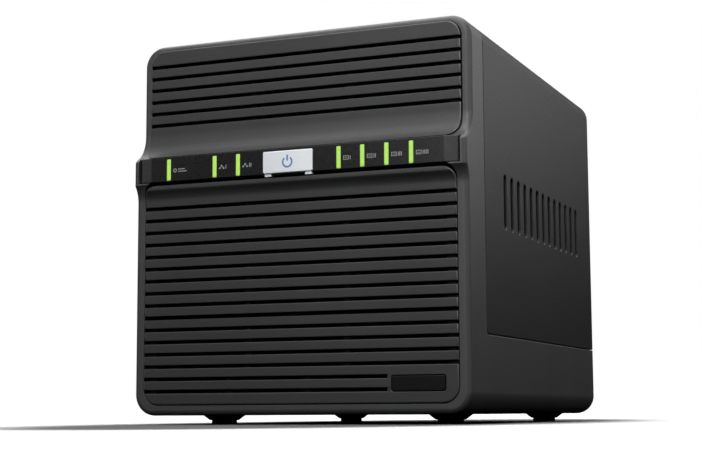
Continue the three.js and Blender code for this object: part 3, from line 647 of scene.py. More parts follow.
SHELL = moulded_plastic("moulded_shell", (0.0315, 0.032, 0.033), 0.46, edge=1.8, specular=0.62)
COVER = moulded_plastic("moulded_cover", (0.0100, 0.0105, 0.011), 0.46, edge=1.8, specular=0.36)
# The front panel gets painted shade in its louvre slots; its much paler edges are partly a painted
# highlight.
FRONT_PANEL = moulded_plastic("moulded_front", (0.019, 0.0195, 0.0205), 0.50, edge=4.0, painted_shade_reach=2.5)
# A paler, glossier copy of the front panel material for the panels' rounded sides; the paler colour is a
# painted highlight.
PANEL_RIM_HIGHLIGHT = moulded_plastic("moulded_rim_highlight", (0.045, 0.046, 0.048), 0.34, edge=1.5, specular=0.8)
BAND = moulded_plastic("satin_band", (0.007, 0.007, 0.0075), 0.30, 0.25, 0.008, edge=2.5, specular=0.35)
BADGE = moulded_plastic("badge_plastic", (0.004, 0.004, 0.0042), 0.34, 0.25, 0.005, edge=2.0, specular=0.2)
SILVER = moulded_plastic("silver_button", (0.80, 0.82, 0.85), 0.32, 0.2, 0.004, edge=1.1)
TRAY = moulded_plastic("tray_plastic", (0.035, 0.037, 0.040), 0.50, edge=1.6)
FAN = moulded_plastic("fan_plastic", (0.012, 0.012, 0.013), 0.38, 0.5, 0.012, edge=1.8)
SOCKET = moulded_plastic("socket_plastic", (0.010, 0.010, 0.011), 0.42, 0.3, 0.01, edge=2.0)
ZINC = sheet_metal("zinc_sheet", (0.52, 0.54, 0.56), 0.38)
PORT = sheet_metal("tinned_shell", (0.62, 0.63, 0.64), 0.28, (1, 6, 1))
FINS = sheet_metal("aluminium_fins", (0.66, 0.67, 0.69), 0.36, (1, 9, 1))
POLISHED = sheet_metal("nickel_plate", (0.66, 0.66, 0.67), 0.20, (6, 1, 1))
COATED = powder_coat("black_powder_coat", (0.018, 0.018, 0.020))
WIRE = powder_coat("coated_wire", (0.022, 0.022, 0.023), 0.32)
# A near-black felt sheet behind the louvres: a dark sheet that stands for the shade inside the slots.
SHADE_FELT = felt("black_felt", (0.004, 0.004, 0.004))
RUBBER = rubber("black_rubber", (0.010, 0.010, 0.010))
BOARD = circuit_board("circuit_board", (0.012, 0.085, 0.045))
GREEN = lit_lens("green_light", (0.36, 0.62, 0.10), 0.85)
BLUE_INK = printed_ink("blue_ink", (0.10, 0.22, 0.45))
PALE_INK = printed_ink("pale_ink", (0.30, 0.31, 0.32))
GOLD = sheet_metal("gold_contacts", (0.80, 0.58, 0.22), 0.25)
PAPER = printed_ink("paper_label", (0.42, 0.43, 0.44), 0.6)
AMBER = moulded_plastic("amber_window", (0.35, 0.16, 0.02), 0.25, 0.3, 0.004, edge=1.3)
SLOT_MATERIALS = {
    "charcoal_shell": SHELL,
    "charcoal_cover": COVER,
    "charcoal_front": FRONT_PANEL,
    "band_plastic": BADGE,
    "silver_plastic": SILVER,
    "green_lens": GREEN,
    "black_rubber": RUBBER,
    "black_felt": SHADE_FELT,
    "zinc_steel": ZINC,
    "black_steel": COATED,
    "polished_steel": POLISHED,
    "guard_wire": WIRE,
    "tray_plastic": TRAY,
    "fan_plastic": FAN,
    "circuit_board": BOARD,
    "socket_plastic": SOCKET,
    "port_metal": PORT,
    "aluminium_fins": FINS,
}


# ------------------------------------------------------------------ shell
SIDE_CHAMFER = 0.35
COVER_LIP_REACH = 6
COVER_LIP_DROP = 10
COVER_LIP_END = 104
COVER_LIP_WALL = 2
UPPER_CORNERS = (6.2, 6.2, 7, 7)
LOWER_CORNERS = (7.5, 7.5, 6, 6)
FLOOR_SLOT_HALF = 2
FLOOR_SLOT_FRONT, FLOOR_SLOT_BACK = -40, 60
LABEL_HALF = 32
LABEL_FRONT, LABEL_BACK = 66, 92


def body_outline(inset):
    """The body's outline from the front, moved in by inset."""
    return rounded(
        -HALF + inset, HALF - inset, BODY_BOTTOM + inset, TOP - inset, CORNER - inset, 12, LEVELS,
    )


def cover_space(gap, edge):
    """The block of space above the side seam and behind the ring; edge is its chamfer at the sides."""
    outline = rounded(SEAM_Y + gap, REAR + 6, SEAM_Z + gap, TOP + 6, [SEAM_RADIUS, 0, 0, 0], 6)
    out, inner = HALF + 0.2, HALF - abs(edge)
    stations = [(edge, -out), (edge, -HALF), (0, -inner), (0, inner), (edge, HALF), (edge, out)]
    return sweep(outline, stations, "x")


def upper_outline(gap):
    """The upper louvred panel's outline, grown by gap; its foot meets the band nearly square."""
    x, z0, z1 = upper_high.x + PANEL_GROW + gap, band_high.z + 0.12, upper_high.z + PANEL_GROW + gap
    radii = [radius + gap for radius in UPPER_CORNERS]
    points = rounded(-x, x, z0, z1, radii, 10, LEVELS)
    return [(u, v, nu, nv * 0.2 if nv < 0 else nv) for u, v, nu, nv in points]


def lower_outline(gap, top=lower_high.z):
    """The lower louvred panel's outline, grown by gap at its sides and foot."""
    x, z0 = lower_high.x + PANEL_GROW + gap, lower_low.z - PANEL_GROW - gap
    return rounded(-x, x, z0, top, [radius + gap for radius in LOWER_CORNERS], 10, LEVELS)


def opening(outline, front):
    """A cutter that opens a front opening and rounds its edge where it meets the front."""
    stations = [(-LIP_EDGE, lambda z: front(z) - 2)]
    stations += [(-inset, lambda z, d=depth: front(z) + d) for inset, depth in fillet(LIP_EDGE, 3)]
    stations.append((0, TUB_FRONT + 0.01))
    return sweep(outline, stations)


def build_lower_shell():
    """The front ring and the tub, with the cover's lip, the foot bosses and slots through the floor."""
    hull = sweep(body_outline(0), filleted_stations(ring_front, REAR, RING_EDGE, REAR_EDGE, 7))
    shell = add_object("lower_shell_fine", *hull)
    cut(shell, sweep(body_outline(RING_WALL), [(0, TUB_FRONT), (0, REAR + 1)]))
    cut(shell, opening(upper_outline(PANEL_GAP), ring_front))
    cut(shell, opening(lower_outline(PANEL_GAP, band_low.z + 0.2), ring_front))
    band_space = box(
        band_low.x - BAND_GAP, band_high.x + BAND_GAP, FRONT - 3, TUB_FRONT + 0.02,
        band_low.z - PANEL_GAP, band_high.z + BAND_GAP,
    )
    cut(shell, band_space)
    cut(shell, cover_space(0, -SIDE_CHAMFER))
    for lip in cover_lips():
        cut(shell, lip, "UNION")
    for foot in FEET:
        cut(shell, boss(foot), "UNION")
    floor = [(0, BODY_BOTTOM - 1), (0, BODY_BOTTOM + RING_WALL + 1)]
    half = FLOOR_SLOT_HALF
    slots = [
        sweep(rounded(x - half, x + half, FLOOR_SLOT_FRONT, FLOOR_SLOT_BACK, half - 0.01, 6), floor, "z")
        for x in range(-50, 51, 20)
    ]
    cut(shell, merged(slots))
    return shell


def cover_lips():
    """The lip inside the ring and along both sides that the cover's edge sits on."""
    inset = COVER_WALL + FIT_GAP
    front, back = SEAM_Y - COVER_LIP_REACH, SEAM_Y + COVER_LIP_REACH
    foot = SEAM_Z - COVER_LIP_DROP
    ring = add_object("lip", *sweep(body_outline(inset), [(0, front), (0, back)]))
    cut(ring, sweep(body_outline(inset + COVER_LIP_WALL), [(0, front - 1), (0, back + 1)]))
    cut(ring, box(-HALF, HALF, front - 1, back + 1, 0, foot))
    parts = [taken(ring)]
    outer = HALF - inset
    for x0, x1 in ((-outer, COVER_LIP_WALL - outer), (outer - COVER_LIP_WALL, outer)):
        parts.append(box(x0, x1, front + 0.1, COVER_LIP_END, foot - 0.1, SEAM_Z + 4))
    return parts


def boss(foot):
    """The cone under the shell that carries a rubber pad, hollowed to hold it."""
    x, y, _ = centre(foot)
    ceiling, mouth, top = 2.6, 1.9, BODY_BOTTOM + 0.5
    hollow, rim, cone = 6.4, 7.4, 11.2
    profile = [(hollow, ceiling), (hollow, mouth), (rim - 0.4, mouth), (rim, mouth + 0.2)]
    profile += [(cone - 1, BODY_BOTTOM - 0.1), (cone, BODY_BOTTOM), (cone, top), (0, top), (0, ceiling)]
    return upright_lathe(profile, x, y)


def build_pad(foot):
    """A round rubber pad with a softened tread edge and a shallow dimple moulded in its face."""
    x, y, _ = centre(foot)
    outer, dimple, top = 6.3, 3.2, span(foot)[1].z + 0.3
    profile = [(0, 0.25), (dimple, 0.25), (dimple + 0.3, 0.0), (outer - 0.5, 0.0), (outer - 0.15, 0.12)]
    profile += [(outer, 0.5), (outer - 0.2, top), (0, top)]
    return upright_lathe(profile, x, y)


def side_vents():
    """The row of upright openings in both sides, each with a rounded mouth."""
    count, pitch, width, z0, z1, middle = 13, 11.4, 4.4, 91, 117, 13
    mouth = [(-inset, depth) for inset, depth in fillet(0.7, 4)]
    parts = []
    for i in range(count):
        y = middle + (i - (count - 1) / 2) * pitch
        outline = rounded(y - width / 2, y + width / 2, z0, z1, width / 2 - 0.01, 8)
        for side in (-1, 1):
            stations = [(0, side * (HALF - 4))]
            stations += [(inset, side * (HALF - depth)) for inset, depth in reversed(mouth)]
            stations.append((mouth[0][0], side * (HALF + 1)))
            parts.append(sweep(outline, stations, "x"))
    return merged(parts)


def build_top_cover():
    """The cover over the top and both sides, with a chamfer at its seam and vents in its sides."""
    front = SEAM_Y + FIT_GAP
    stations = [(0.4, front - 0.05), (0.12, front + 0.1), (0, front + 0.35)]
    stations += [(inset, REAR - depth) for inset, depth in reversed(fillet(REAR_EDGE, 4))]
    cover = add_object("top_cover_fine", *sweep(body_outline(0), stations))
    cut(cover, cover_space(FIT_GAP, SIDE_CHAMFER), "INTERSECT")
    cut(cover, sweep(body_outline(COVER_WALL), [(0, SEAM_Y - 2), (0, REAR + 2)]))
    cut(cover, side_vents())
    return cover


# ------------------------------------------------------------------ louvred front panels
def groove(face, z, x0, x1):
    """A louvre's cutter: a slot with rounded lips across the face."""
    top, bottom = z + SLOT_HEIGHT / 2, z - SLOT_HEIGHT / 2
    upper = [(face + depth, top + inset) for inset, depth in fillet(SLOT_LIP, 3)]
    lower = [(y, bottom + top - v) for y, v in reversed(upper)]
    profile = [(face - 2, upper[0][1])] + upper
    profile += [(face + SLOT_DEPTH, top), (face + SLOT_DEPTH, bottom)]
    profile += lower + [(face - 2, lower[-1][1])]
    return sweep([(y, v, 0, 0) for y, v in profile], [(0, x0), (0, x1)], "x")


def slot_holes(face, back, z, x0, x1):
    """The three openings through a louvre's floor."""
    left, right = max(x0, -SLOT_HOLE_HALF), min(x1, SLOT_HOLE_HALF)
    third = (right - left) / 3
    half, rib = SLOT_HEIGHT / 2 - 0.05, 1.5
    return [
        box(left + i * third + rib, left + (i + 1) * third - rib, face + 1, back + 1, z - half, z + half)
        for i in range(3)
    ]


def slot_rows(node, top, count):
    """Louvres across a panel as (height, left end, right end), downward from top."""
    low, high = span(node)
    return [(top - i * SLOT_PITCH, low.x - 2, high.x + 2) for i in range(count)]


def build_panel(node, outline, front, face, rows):
    """A front panel that follows its profile, with louvres at the given rows."""
    back = span(node)[1].y
    panel = add_object(node, *sweep(outline, filleted_stations(front, back, PART_EDGE, 0.3)))
    cut(panel, merged([groove(face, *row) for row in rows]))
    cut(panel, merged([hole for row in rows for hole in slot_holes(face, back, *row)]))
    return panel


def build_upper_grille():
    rows = slot_rows("upper_grille", UPPER_SLOT_TOP, UPPER_SLOTS)
    return build_panel("upper_grille", upper_outline(0), upper_front, UPPER_FACE, rows)


def build_lower_grille():
    """The lower panel; its last louvres stop short of the badge's pocket."""
    rows = slot_rows("lower_grille", LOWER_SLOT_TOP, LOWER_SLOTS)
    rows[-SHORT_SLOTS:] = [(z, x0, SHORT_SLOT_END) for z, x0, _ in rows[-SHORT_SLOTS:]]
    panel = build_panel("lower_grille", lower_outline(0), lower_front, LOWER_FACE, rows)
    gap = FIT_GAP
    pocket = rounded(badge_low.x - gap, badge_high.x + gap, badge_low.z - gap, badge_high.z + gap, 1.0, 4)
    depths = [(-gap, LOWER_FACE - 2), (-gap, LOWER_FACE), (0, LOWER_FACE + gap), (0, LOWER_FACE + 1)]
    cut(panel, sweep(pocket, depths))
    return panel


def paint_sides(panel):
    """The rounded edges at a panel's two sides are more polished than its face, and paler, which is a
    painted highlight.
    """
    panel.data.materials.append(PANEL_RIM_HIGHLIGHT)
    for face in panel.data.polygons:
        face.material_index = int(abs(face.normal.x) > 0.25 and face.normal.y < -0.12)


stand_in("lower_shell", build_lower_shell())
stand_in("top_cover", build_top_cover())
paint_sides(stand_in("upper_grille", build_upper_grille()))
paint_sides(stand_in("lower_grille", build_lower_grille()))
for foot in FEET:
    stand_in(foot, build_pad(foot))
label_outline = rounded(-LABEL_HALF, LABEL_HALF, LABEL_FRONT, LABEL_BACK, 2)
label_plate = sweep(label_outline, [(0, BODY_BOTTOM - 0.15), (0, BODY_BOTTOM + 0.3)], "z")
piece("blank_label", label_plate, PAPER, "lower_shell")

# ------------------------------------------------------------------ indicator band and button
LIGHT_NODES = ["status_light", "lan_light_1", "lan_light_2"] + [f"drive_light_{i}" for i in range(1, 5)]
LIGHT_GAP = 0.1
LIGHT_FLOOR = 0.35
BUTTON_GAP = 0.25
BUTTON_BACK = -109
INK_FRONT, INK_BACK = -0.04, 0.1


def band_plan():
    """The band from above: flat in front, swept back a little near its ends, with rounded corners."""
    half, back = band_high.x, band_high.y
    flat, sweep_back, corner, bend = half - 7.5, math.radians(11), 1.6, 7.0
    side = [(flat + bend * math.sin(t), FRONT + bend * (1 - math.cos(t)), math.sin(t), -math.cos(t))
            for t in (i / 4 * sweep_back for i in range(5))]
    run = half - corner * (1 - math.sin(sweep_back)) - side[-1][0]
    end_y = side[-1][1] + run * math.tan(sweep_back)
    cx, cy = half - corner, end_y + corner * math.cos(sweep_back)
    for i in range(6):
        t = sweep_back + i / 5 * (math.pi / 2 - sweep_back)
        side.append((cx + corner * math.sin(t), cy - corner * math.cos(t), math.sin(t), -math.cos(t)))
    left = [(-x, y, -nx, ny) for x, y, nx, ny in reversed(side)]
    return [(-half, back, -1, 1)] + left + side + [(half, back, 1, 1)]


def build_band():
    """The band with its light slots, closed below, and the hole for the button."""
    stations = filleted_stations(band_low.z, band_high.z, 0.35, 0.35, 3)
    band = add_object("indicator_band_fine", *sweep(band_plan(), stations, "z"))
    front, back = FRONT - 2, band_high.y + 1
    cutters = []
    for node in LIGHT_NODES:
        low, high = span(node)
        x0, x1 = low.x - LIGHT_GAP, high.x + LIGHT_GAP
        cutters.append(box(x0, x1, front, back, low.z + LIGHT_FLOOR, high.z + LIGHT_GAP))
    x0, x1 = button_low.x - BUTTON_GAP, button_high.x + BUTTON_GAP
    cutters.append(box(x0, x1, front, back, band_low.z - 2, button_high.z + BUTTON_GAP))
    cut(band, merged(cutters))
    return band


def build_light(node):
    """A light pipe: a bar with a softened face, and a narrower stem back to the front board."""
    low, high = span(node)
    floor = low.z + LIGHT_FLOOR + LIGHT_GAP
    stations = filleted_stations(low.y, band_high.y, 0.25, 0, 3)
    light = add_object(node + "_fine", *sweep(rounded(low.x, high.x, floor, high.z, 0.35, 4), stations))
    x = centre(node)[0]
    stem = box(x - 0.8, x + 0.8, band_high.y - 1, high.y, floor + 1, high.z - 1, 0.2)
    cut(light, stem, "UNION")
    return light


def build_button():
    """The cap with its crowned face, two lugs under it and the stem behind it."""
    low, high = button_low, button_high
    bottom, lug, half = band_low.z + 0.3, 3.4, 3
    outline = rounded(low.x, high.x, bottom, high.z, 0.7, 5)
    stations = filleted_stations(low.y, BUTTON_BACK, 0.45, 0.2)
    button = add_object("power_button_fine", *sweep(outline, stations))
    lug_spots = (low.x + 0.6, high.x - lug - 0.6)
    parts = [box(x, x + lug, low.y + 0.8, BUTTON_BACK - 3, low.z, bottom + 1, 0.3) for x in lug_spots]
    x, z = (low.x + high.x) / 2, (bottom + high.z) / 2
    parts.append(box(x - half, x + half, BUTTON_BACK - 1, high.y, z - half, z + half, 0.3))
    for part in parts:
        cut(button, part, "UNION")
    return button


def arc_band(cx, cz, radius, width, start, stop, face, steps=48):
    """A printed curved line on a face, such as the open ring of a power symbol."""
    turns = [start + (stop - start) * i / steps for i in range(steps + 1)]
    outline = []
    for r, path in ((radius + width / 2, turns), (radius - width / 2, reversed(turns))):
        outline += [(cx + r * math.cos(t), cz + r * math.sin(t), 0, 0) for t in path]
    return sweep(outline, [(0, face + INK_FRONT), (0, face + INK_BACK)])


def build_power_symbol():
    """An open ring with an upright bar in its gap."""
    x, face = centre("power_button")[0], button_low.y
    z = (band_low.z + button_high.z) / 2 - 0.1
    gap = math.radians(38)
    ring = arc_band(x, z, 2.3, 0.8, math.pi / 2 + gap, math.pi / 2 + TAU - gap, face)
    return merged([ring, box(x - 0.4, x + 0.4, face + INK_FRONT, face + INK_BACK, z + 0.6, z + 3.3)])


def slab(x, z, width, height):
    """A printed bar on the band with its left lower corner at x, z."""
    return box(x, x + width, FRONT + INK_FRONT, FRONT + INK_BACK, z, z + height)


def ticks(x, z, node):
    """Short upright strokes, as many as the number in a light's name."""
    return [slab(x + 0.75 * i, z, 0.35, 1.9) for i in range(int(node[-1]))]


def status_mark(x, z):
    """A ring and two lines."""
    ring = arc_band(x + 1.0, z + 0.95, 0.75, 0.4, 0, TAU * 0.999, FRONT, 24)
    return [ring, slab(x + 2.6, z + 0.2, 4.8, 0.4), slab(x + 2.6, z + 1.3, 3.6, 0.4)]


def network_mark(x, z, node):
    """Three joined boxes and the light's number in strokes."""
    boxes = [slab(x + dx, z + dz, 0.8, 0.7) for dx, dz in ((0, 0), (2.0, 0), (1.0, 1.2))]
    return boxes + [slab(x + 0.3, z + 0.86, 2.2, 0.2)] + ticks(x + 3.5, z, node)


def drive_mark(x, z, node):
    """A drive's outline with its label line, and the light's number in strokes."""
    width, height, line = 2.6, 1.9, 0.3
    inner = height - 2 * line
    frame_bars = [slab(x, z, width, line), slab(x, z + height - line, width, line)]
    frame_bars += [slab(x, z + line, line, inner), slab(x + width - line, z + line, line, inner)]
    return frame_bars + [slab(x + 0.7, z + 0.7, 1.2, line)] + ticks(x + 3.2, z, node)


def build_marks():
    """The printed marks to the right of each light."""
    parts = []
    for node in LIGHT_NODES:
        x, z = span(node)[1].x + 1.3, centre(node)[2] - 1.1
        if node.startswith("status"):
            parts += status_mark(x, z)
        elif node.startswith("lan"):
            parts += network_mark(x, z, node)
        else:
            parts += drive_mark(x, z, node)
    return merged(parts)


stand_in("indicator_band", build_band(), BAND)
stand_in("power_button", build_button())
piece("light_marks", build_marks(), PALE_INK, "indicator_band")
piece("power_symbol", build_power_symbol(), BLUE_INK, "power_button")
for node in LIGHT_NODES:
    stand_in(node, build_light(node))

# ------------------------------------------------------------------ screws, fans, guards and door
FAN_BORE = 38.25
FAN_FLANGE = 3.6
FAN_HOLE_OFFSET = 35.75
FAN_HOLE_RADIUS = 2.15
FAN_POST_RADIUS = 3.6
HUB_RADIUS = 16.5
SEAT_RADIUS = 16
SEAT_FRONT = 105.2
STRUT_FRONT = 106.6
STRUT_SIDES = (7.5, 10)
STRUT_TURN = 0.5
BLADE_ROOT = 15
BLADE_REACH = 37.3
BLADE_COUNT = 7
BLADE_SECTIONS, BLADE_POINTS = 9, 10
GUARD_RINGS = (8, 14, 20, 26, 32, 38)
GUARD_WIRE = 0.72
DOOR_FACE = 110.6


def build_screw(radius, height):
    """A domed screw head at the origin, facing +Y, with a cross recess."""
    dome = [(radius * math.cos(t), height * (0.4 + 0.6 * math.sin(t))) for t in quarter_turn(6)[:-1]]
    head = add_object("screw", *lathe([(0, -0.3), (radius, -0.3)] + dome + [(0, height)], 0, 0, 28))
    recess = cross(0, 0, height * 0.35, height + 1, radius * 0.6, radius * 0.11)
    cut(head, recess, overlapping=True)
    return taken(head)


def screw_corners(side):
    """The x and z of a fan's four screws."""
    cx, _, cz = centre("fan_frame_" + side)
    return [(cx + i * FAN_HOLE_OFFSET, cz + k * FAN_HOLE_OFFSET) for i in (-1, 1) for k in (-1, 1)]


def build_fan_frame(side):
    """Two square flanges on a round wall, screw posts, and a motor seat on four slanting struts."""
    low, high = span("fan_frame_" + side)
    cx, _, cz = centre("fan_frame_" + side)
    spots = screw_corners(side)
    half = (high.x - low.x) / 2
    outline = rounded(cx - half, cx + half, cz - half, cz + half, 5, 6)
    fan = add_object("fan_frame", *sweep(outline, filleted_stations(low.y, low.y + FAN_FLANGE, 0.5, 0.3)))
    solids = [sweep(outline, filleted_stations(high.y - FAN_FLANGE, high.y, 0.3, 0.5))]
    solids.append(rod(cx, cz, half - 0.15, low.y + 1, high.y - 1, count=96))
    solids += [rod(x, z, FAN_POST_RADIUS, low.y + 1, high.y - 1, count=24) for x, z in spots]
    cut(fan, merged(solids), "UNION", overlapping=True)
    flare = [(-1.3, low.y - 0.1), (0, low.y + 1.6), (0, high.y - 1.2), (-0.9, high.y + 0.1)]
    cut(fan, sweep(circle(cx, cz, FAN_BORE, 96), flare))
    cut(fan, merged([rod(x, z, FAN_HOLE_RADIUS, low.y - 1, high.y + 1, count=20) for x, z in spots]))
    seat = [rod(cx, cz, SEAT_RADIUS, SEAT_FRONT, high.y, count=64, edge=0.6)]
    strut = box(SEAT_RADIUS / 2, FAN_BORE + 1, STRUT_FRONT, high.y - 0.1, *STRUT_SIDES, 0.5)
    seat += [turned(strut, cx, cz, k * TAU / 4 + STRUT_TURN) for k in range(4)]
    cut(fan, merged(seat), "UNION", overlapping=True)
    cut(fan, rod(cx, cz, SEAT_RADIUS - 1.4, high.y - 0.4, high.y + 1, count=64))
    return fan


def build_blade(middle):
    """One thin twisted blade round the Y axis, cambered and leaning forward towards its tip."""
    rings = []
    for step in range(BLADE_SECTIONS):
        out = step / (BLADE_SECTIONS - 1)
        radius = BLADE_ROOT + (BLADE_REACH - BLADE_ROOT) * out
        reach = math.radians(25 - 3 * out)
        rise = 8.6 - 1.2 * out
        lean = math.radians(16) * out**1.5
        thick = 1.1 - 0.45 * out
        slope = math.atan2(rise, radius * reach)
        ring = []
        for side in (1, -1):
            for i in range(BLADE_POINTS):
                s = side * (1 - 2 * i / (BLADE_POINTS - 1))
                bulge = 1.6 * (1 - s * s) + side * thick * max(0.12, math.sqrt(1 - s * s)) / 2
                turn = lean + s * reach - bulge * math.sin(slope) / radius
                y = middle + s * rise + bulge * math.cos(slope)
                ring.append((radius * math.cos(turn), y, radius * math.sin(turn)))
        rings.append(ring)
    return loft(rings)


def build_fan_rotor(side):
    """A round hub with a soft front edge, and its ring of blades."""
    low, high = span("fan_rotor_" + side)
    cx, _, cz = centre("fan_frame_" + side)
    profile = [(0, low.y + 0.5), (9, low.y + 0.5), (9.4, low.y)]
    profile += [(HUB_RADIUS - i, low.y + d) for i, d in fillet(2.0)]
    profile += [(HUB_RADIUS - i, high.y - d) for i, d in reversed(fillet(0.5, 3))]
    profile.append((0, high.y))
    rotor = add_object("fan_rotor", *lathe(profile, cx, cz, 72))
    blade = build_blade((low.y + high.y) / 2)
    blades = [turned(blade, cx, cz, k * TAU / BLADE_COUNT) for k in range(BLADE_COUNT)]
    cut(rotor, merged(blades), "UNION", overlapping=True)
    return rotor


def wire_ring(cx, y, cz, radius, count=72):
    """A ring of guard wire."""
    return tube([(u, y, v) for u, v, _, _ in circle(cx, cz, radius, count)], GUARD_WIRE, 10, True)


def build_fan_guard(side):
    """Six round wires welded on four spokes, which end in an eye round each screw."""
    cx, _, cz = centre("fan_frame_" + side)
    spoke_y = DOOR_FACE + GUARD_WIRE + 0.05
    ring_y = spoke_y + 1.7 * GUARD_WIRE
    parts = [wire_ring(cx, ring_y, cz, r) for r in GUARD_RINGS]
    eye = 3.0
    reach = FAN_HOLE_OFFSET * math.sqrt(2) - eye
    spoke = rod(spoke_y, 0, GUARD_WIRE, GUARD_RINGS[0] - 1, reach, "x", 12, 0.3)
    parts += [turned(spoke, cx, cz, (k + 0.5) * TAU / 4) for k in range(4)]
    parts += [wire_ring(x, spoke_y, z, eye, 32) for x, z in screw_corners(side)]
    return merged(parts)


def build_thumbscrew(side):
    """A knurled head with a rounded face and a cross slot, on a threaded shank."""
    low, high = span("thumbscrew_" + side)
    cx, _, cz = centre("thumbscrew_" + side)
    knurls, knurl_depth = 24, 0.28
    outline = []
    for k, t in enumerate(full_turn(4 * knurls)):
        r = (high.x - low.x) / 2 - (knurl_depth if k % 4 in (0, 1) else 0)
        outline.append((cx + r * math.cos(t), cz + r * math.sin(t), math.cos(t), math.sin(t)))
    base = span("thumbscrew_washer_" + side)[1].y + 0.3
    stations = [(0.4, base), (0, base + 0.4), (0, high.y - 0.8), (0.35, high.y - 0.3), (0.9, high.y)]
    screw = add_object("thumbscrew", *sweep(outline, stations))
    cut(screw, cross(cx, cz, high.y - 1, high.y + 1, 3.1, 0.45), overlapping=True)
    crest, root, pitch, threads, tip = 1.5, 1.2, 0.5, 12, 0.4
    profile = [(0, low.y), (0.9, low.y), (root, low.y + tip)]
    for k in range(threads):
        y = low.y + tip + k * pitch
        profile += [(crest, y + pitch / 2), (root, y + pitch)]
    profile += [(crest - 0.05, low.y + 7), (crest - 0.05, base + 1), (0, base + 1)]
    cut(screw, lathe(profile, cx, cz, 28), "UNION")
    return screw


def build_door_beads():
    """Pressed stiffening beads across the foot and head of the door, and a pull lip at its top."""
    y0, y1 = DOOR_FACE - 0.2, DOOR_FACE + 0.55
    rows = ((66, 55), (66, 61), (58, 159.5), (58, 165))
    beads = [box(-half, half, y0, y1, z - 1.1, z + 1.1, 0.5) for half, z in rows]
    beads.append(box(-24, 24, y0, DOOR_FACE + 2.2, 173.6, 175.0, 0.45))
    return merged(beads)


for side in ("left", "right"):
    frame_node = "fan_frame_" + side
    fan_x, _, fan_z = centre(frame_node)
    stand_in(frame_node, build_fan_frame(side))
    stand_in("fan_rotor_" + side, build_fan_rotor(side))
    stand_in("fan_guard_" + side, build_fan_guard(side))
    stand_in("thumbscrew_" + side, build_thumbscrew(side))
    seat_back = span(frame_node)[1].y
    sticker = rod(fan_x, fan_z, SEAT_RADIUS - 1.6, seat_back - 0.38, seat_back - 0.25, count=64)
    piece("fan_label_" + side, sticker, PAPER, frame_node)
    screws = placed(build_screw(3.1, 1.5), screw_corners(side), DOOR_FACE + 0.7)
    piece("fan_screws_" + side, screws, ZINC, "rear_door", "polished_steel")
piece("door_beads", build_door_beads(), COATED, "rear_door")

# ------------------------------------------------------------------ rear ports
PORT_WALL = 0.45
LAN_MOUTH_WIDTH, LAN_MOUTH_HEIGHT = 11.8, 7.0
LAN_MOUTH_RISE = 4.3
LAN_LATCH_STEPS = ((6.4, 1.7), (4.0, 3.2))
LAN_PIN_PITCH = 1.02


def build_port_shell(node, radius):
    """A folded tin sleeve, open at the rear."""
    low, high = span(node)
    outline = rounded(low.x, high.x, low.z, high.z, radius, 4)
    shell = add_object("port", *sweep(outline, filleted_stations(low.y, high.y, 0.1, 0.15, 3)))
    x0, x1, z0, z1 = low.x + PORT_WALL, high.x - PORT_WALL, low.z + PORT_WALL, high.z - PORT_WALL
    depths = [(0, low.y + 2), (0, high.y - 0.4), (-0.2, high.y + 0.1)]
    cut(shell, sweep(rounded(x0, x1, z0, z1, radius * 0.5, 4), depths))
    return shell


def build_usb_springs(node):
    """The pressed spring fingers of a USB sleeve, two in its floor and two in its roof."""
    low, high = span(node)
    cx = centre(node)[0]
    heights = ((low.z + 0.3, low.z + 0.9), (high.z - 0.9, high.z - 0.3))
    return merged([
        box(x - 1.1, x + 1.1, high.y - 7, high.y - 1.6, z0, z1, 0.2)
        for x in (cx - 3.2, cx + 3.2) for z0, z1 in heights
    ])


def build_usb_tongue(node):
    low, high = span(node)
    cx, _, cz = centre(node)
    return box(cx - 5.7, cx + 5.7, low.y + 1.5, high.y - 1.2, cz + 0.1, cz + 1.9, 0.25)


def build_usb_contacts(node):
    """Four strips under the tongue."""
    low, high = span(node)
    cx, _, cz = centre(node)
    return merged([
        box(x - 0.5, x + 0.5, low.y + 3, high.y - 1.7, cz - 0.1, cz + 0.2, 0.08)
        for x in (cx - 3.5, cx - 1, cx + 1, cx + 3.5)
    ])


def build_lan_insert(node):
    """The black block in a network port, with a stepped opening for the plug and its latch."""
    low, high = span(node)
    cx = centre(node)[0]
    gap = PORT_WALL + 0.1
    block = box(low.x + gap, high.x - gap, low.y + 2.1, high.y - 0.5, low.z + gap, high.z - gap, 0.3)
    insert = add_object("insert", *block)
    floor = low.z + LAN_MOUTH_RISE
    openings = [(LAN_MOUTH_WIDTH, floor, floor + LAN_MOUTH_HEIGHT)]
    openings += [(width, floor - drop, floor + 1) for width, drop in LAN_LATCH_STEPS]
    mouth = [box(cx - w / 2, cx + w / 2, low.y + 4, high.y + 1, z0, z1) for w, z0, z1 in openings]
    cut(insert, merged(mouth), overlapping=True)
    return insert


def build_lan_pins(node):
    """Eight spring contacts that slope down into the mouth."""
    low, high = span(node)
    top = low.z + LAN_MOUTH_RISE + LAN_MOUTH_HEIGHT
    bends = ((2.2, 0.3), (3.5, 0.7), (11, 3.2))
    pins = []
    for k in range(8):
        x = centre(node)[0] + (k - 3.5) * LAN_PIN_PITCH
        pins.append(tube([(x, high.y - depth, top - drop) for depth, drop in bends], 0.22, 8))
    return merged(pins)


def build_lan_windows(node):
    """Two small light windows in the upper corners of a network port."""
    low, high = span(node)
    return merged([
        box(x, x + 2.2, high.y - 1.5, high.y - 0.35, high.z - 2.2, high.z - 0.9, 0.2)
        for x in (low.x + 1.1, high.x - 3.3)
    ])


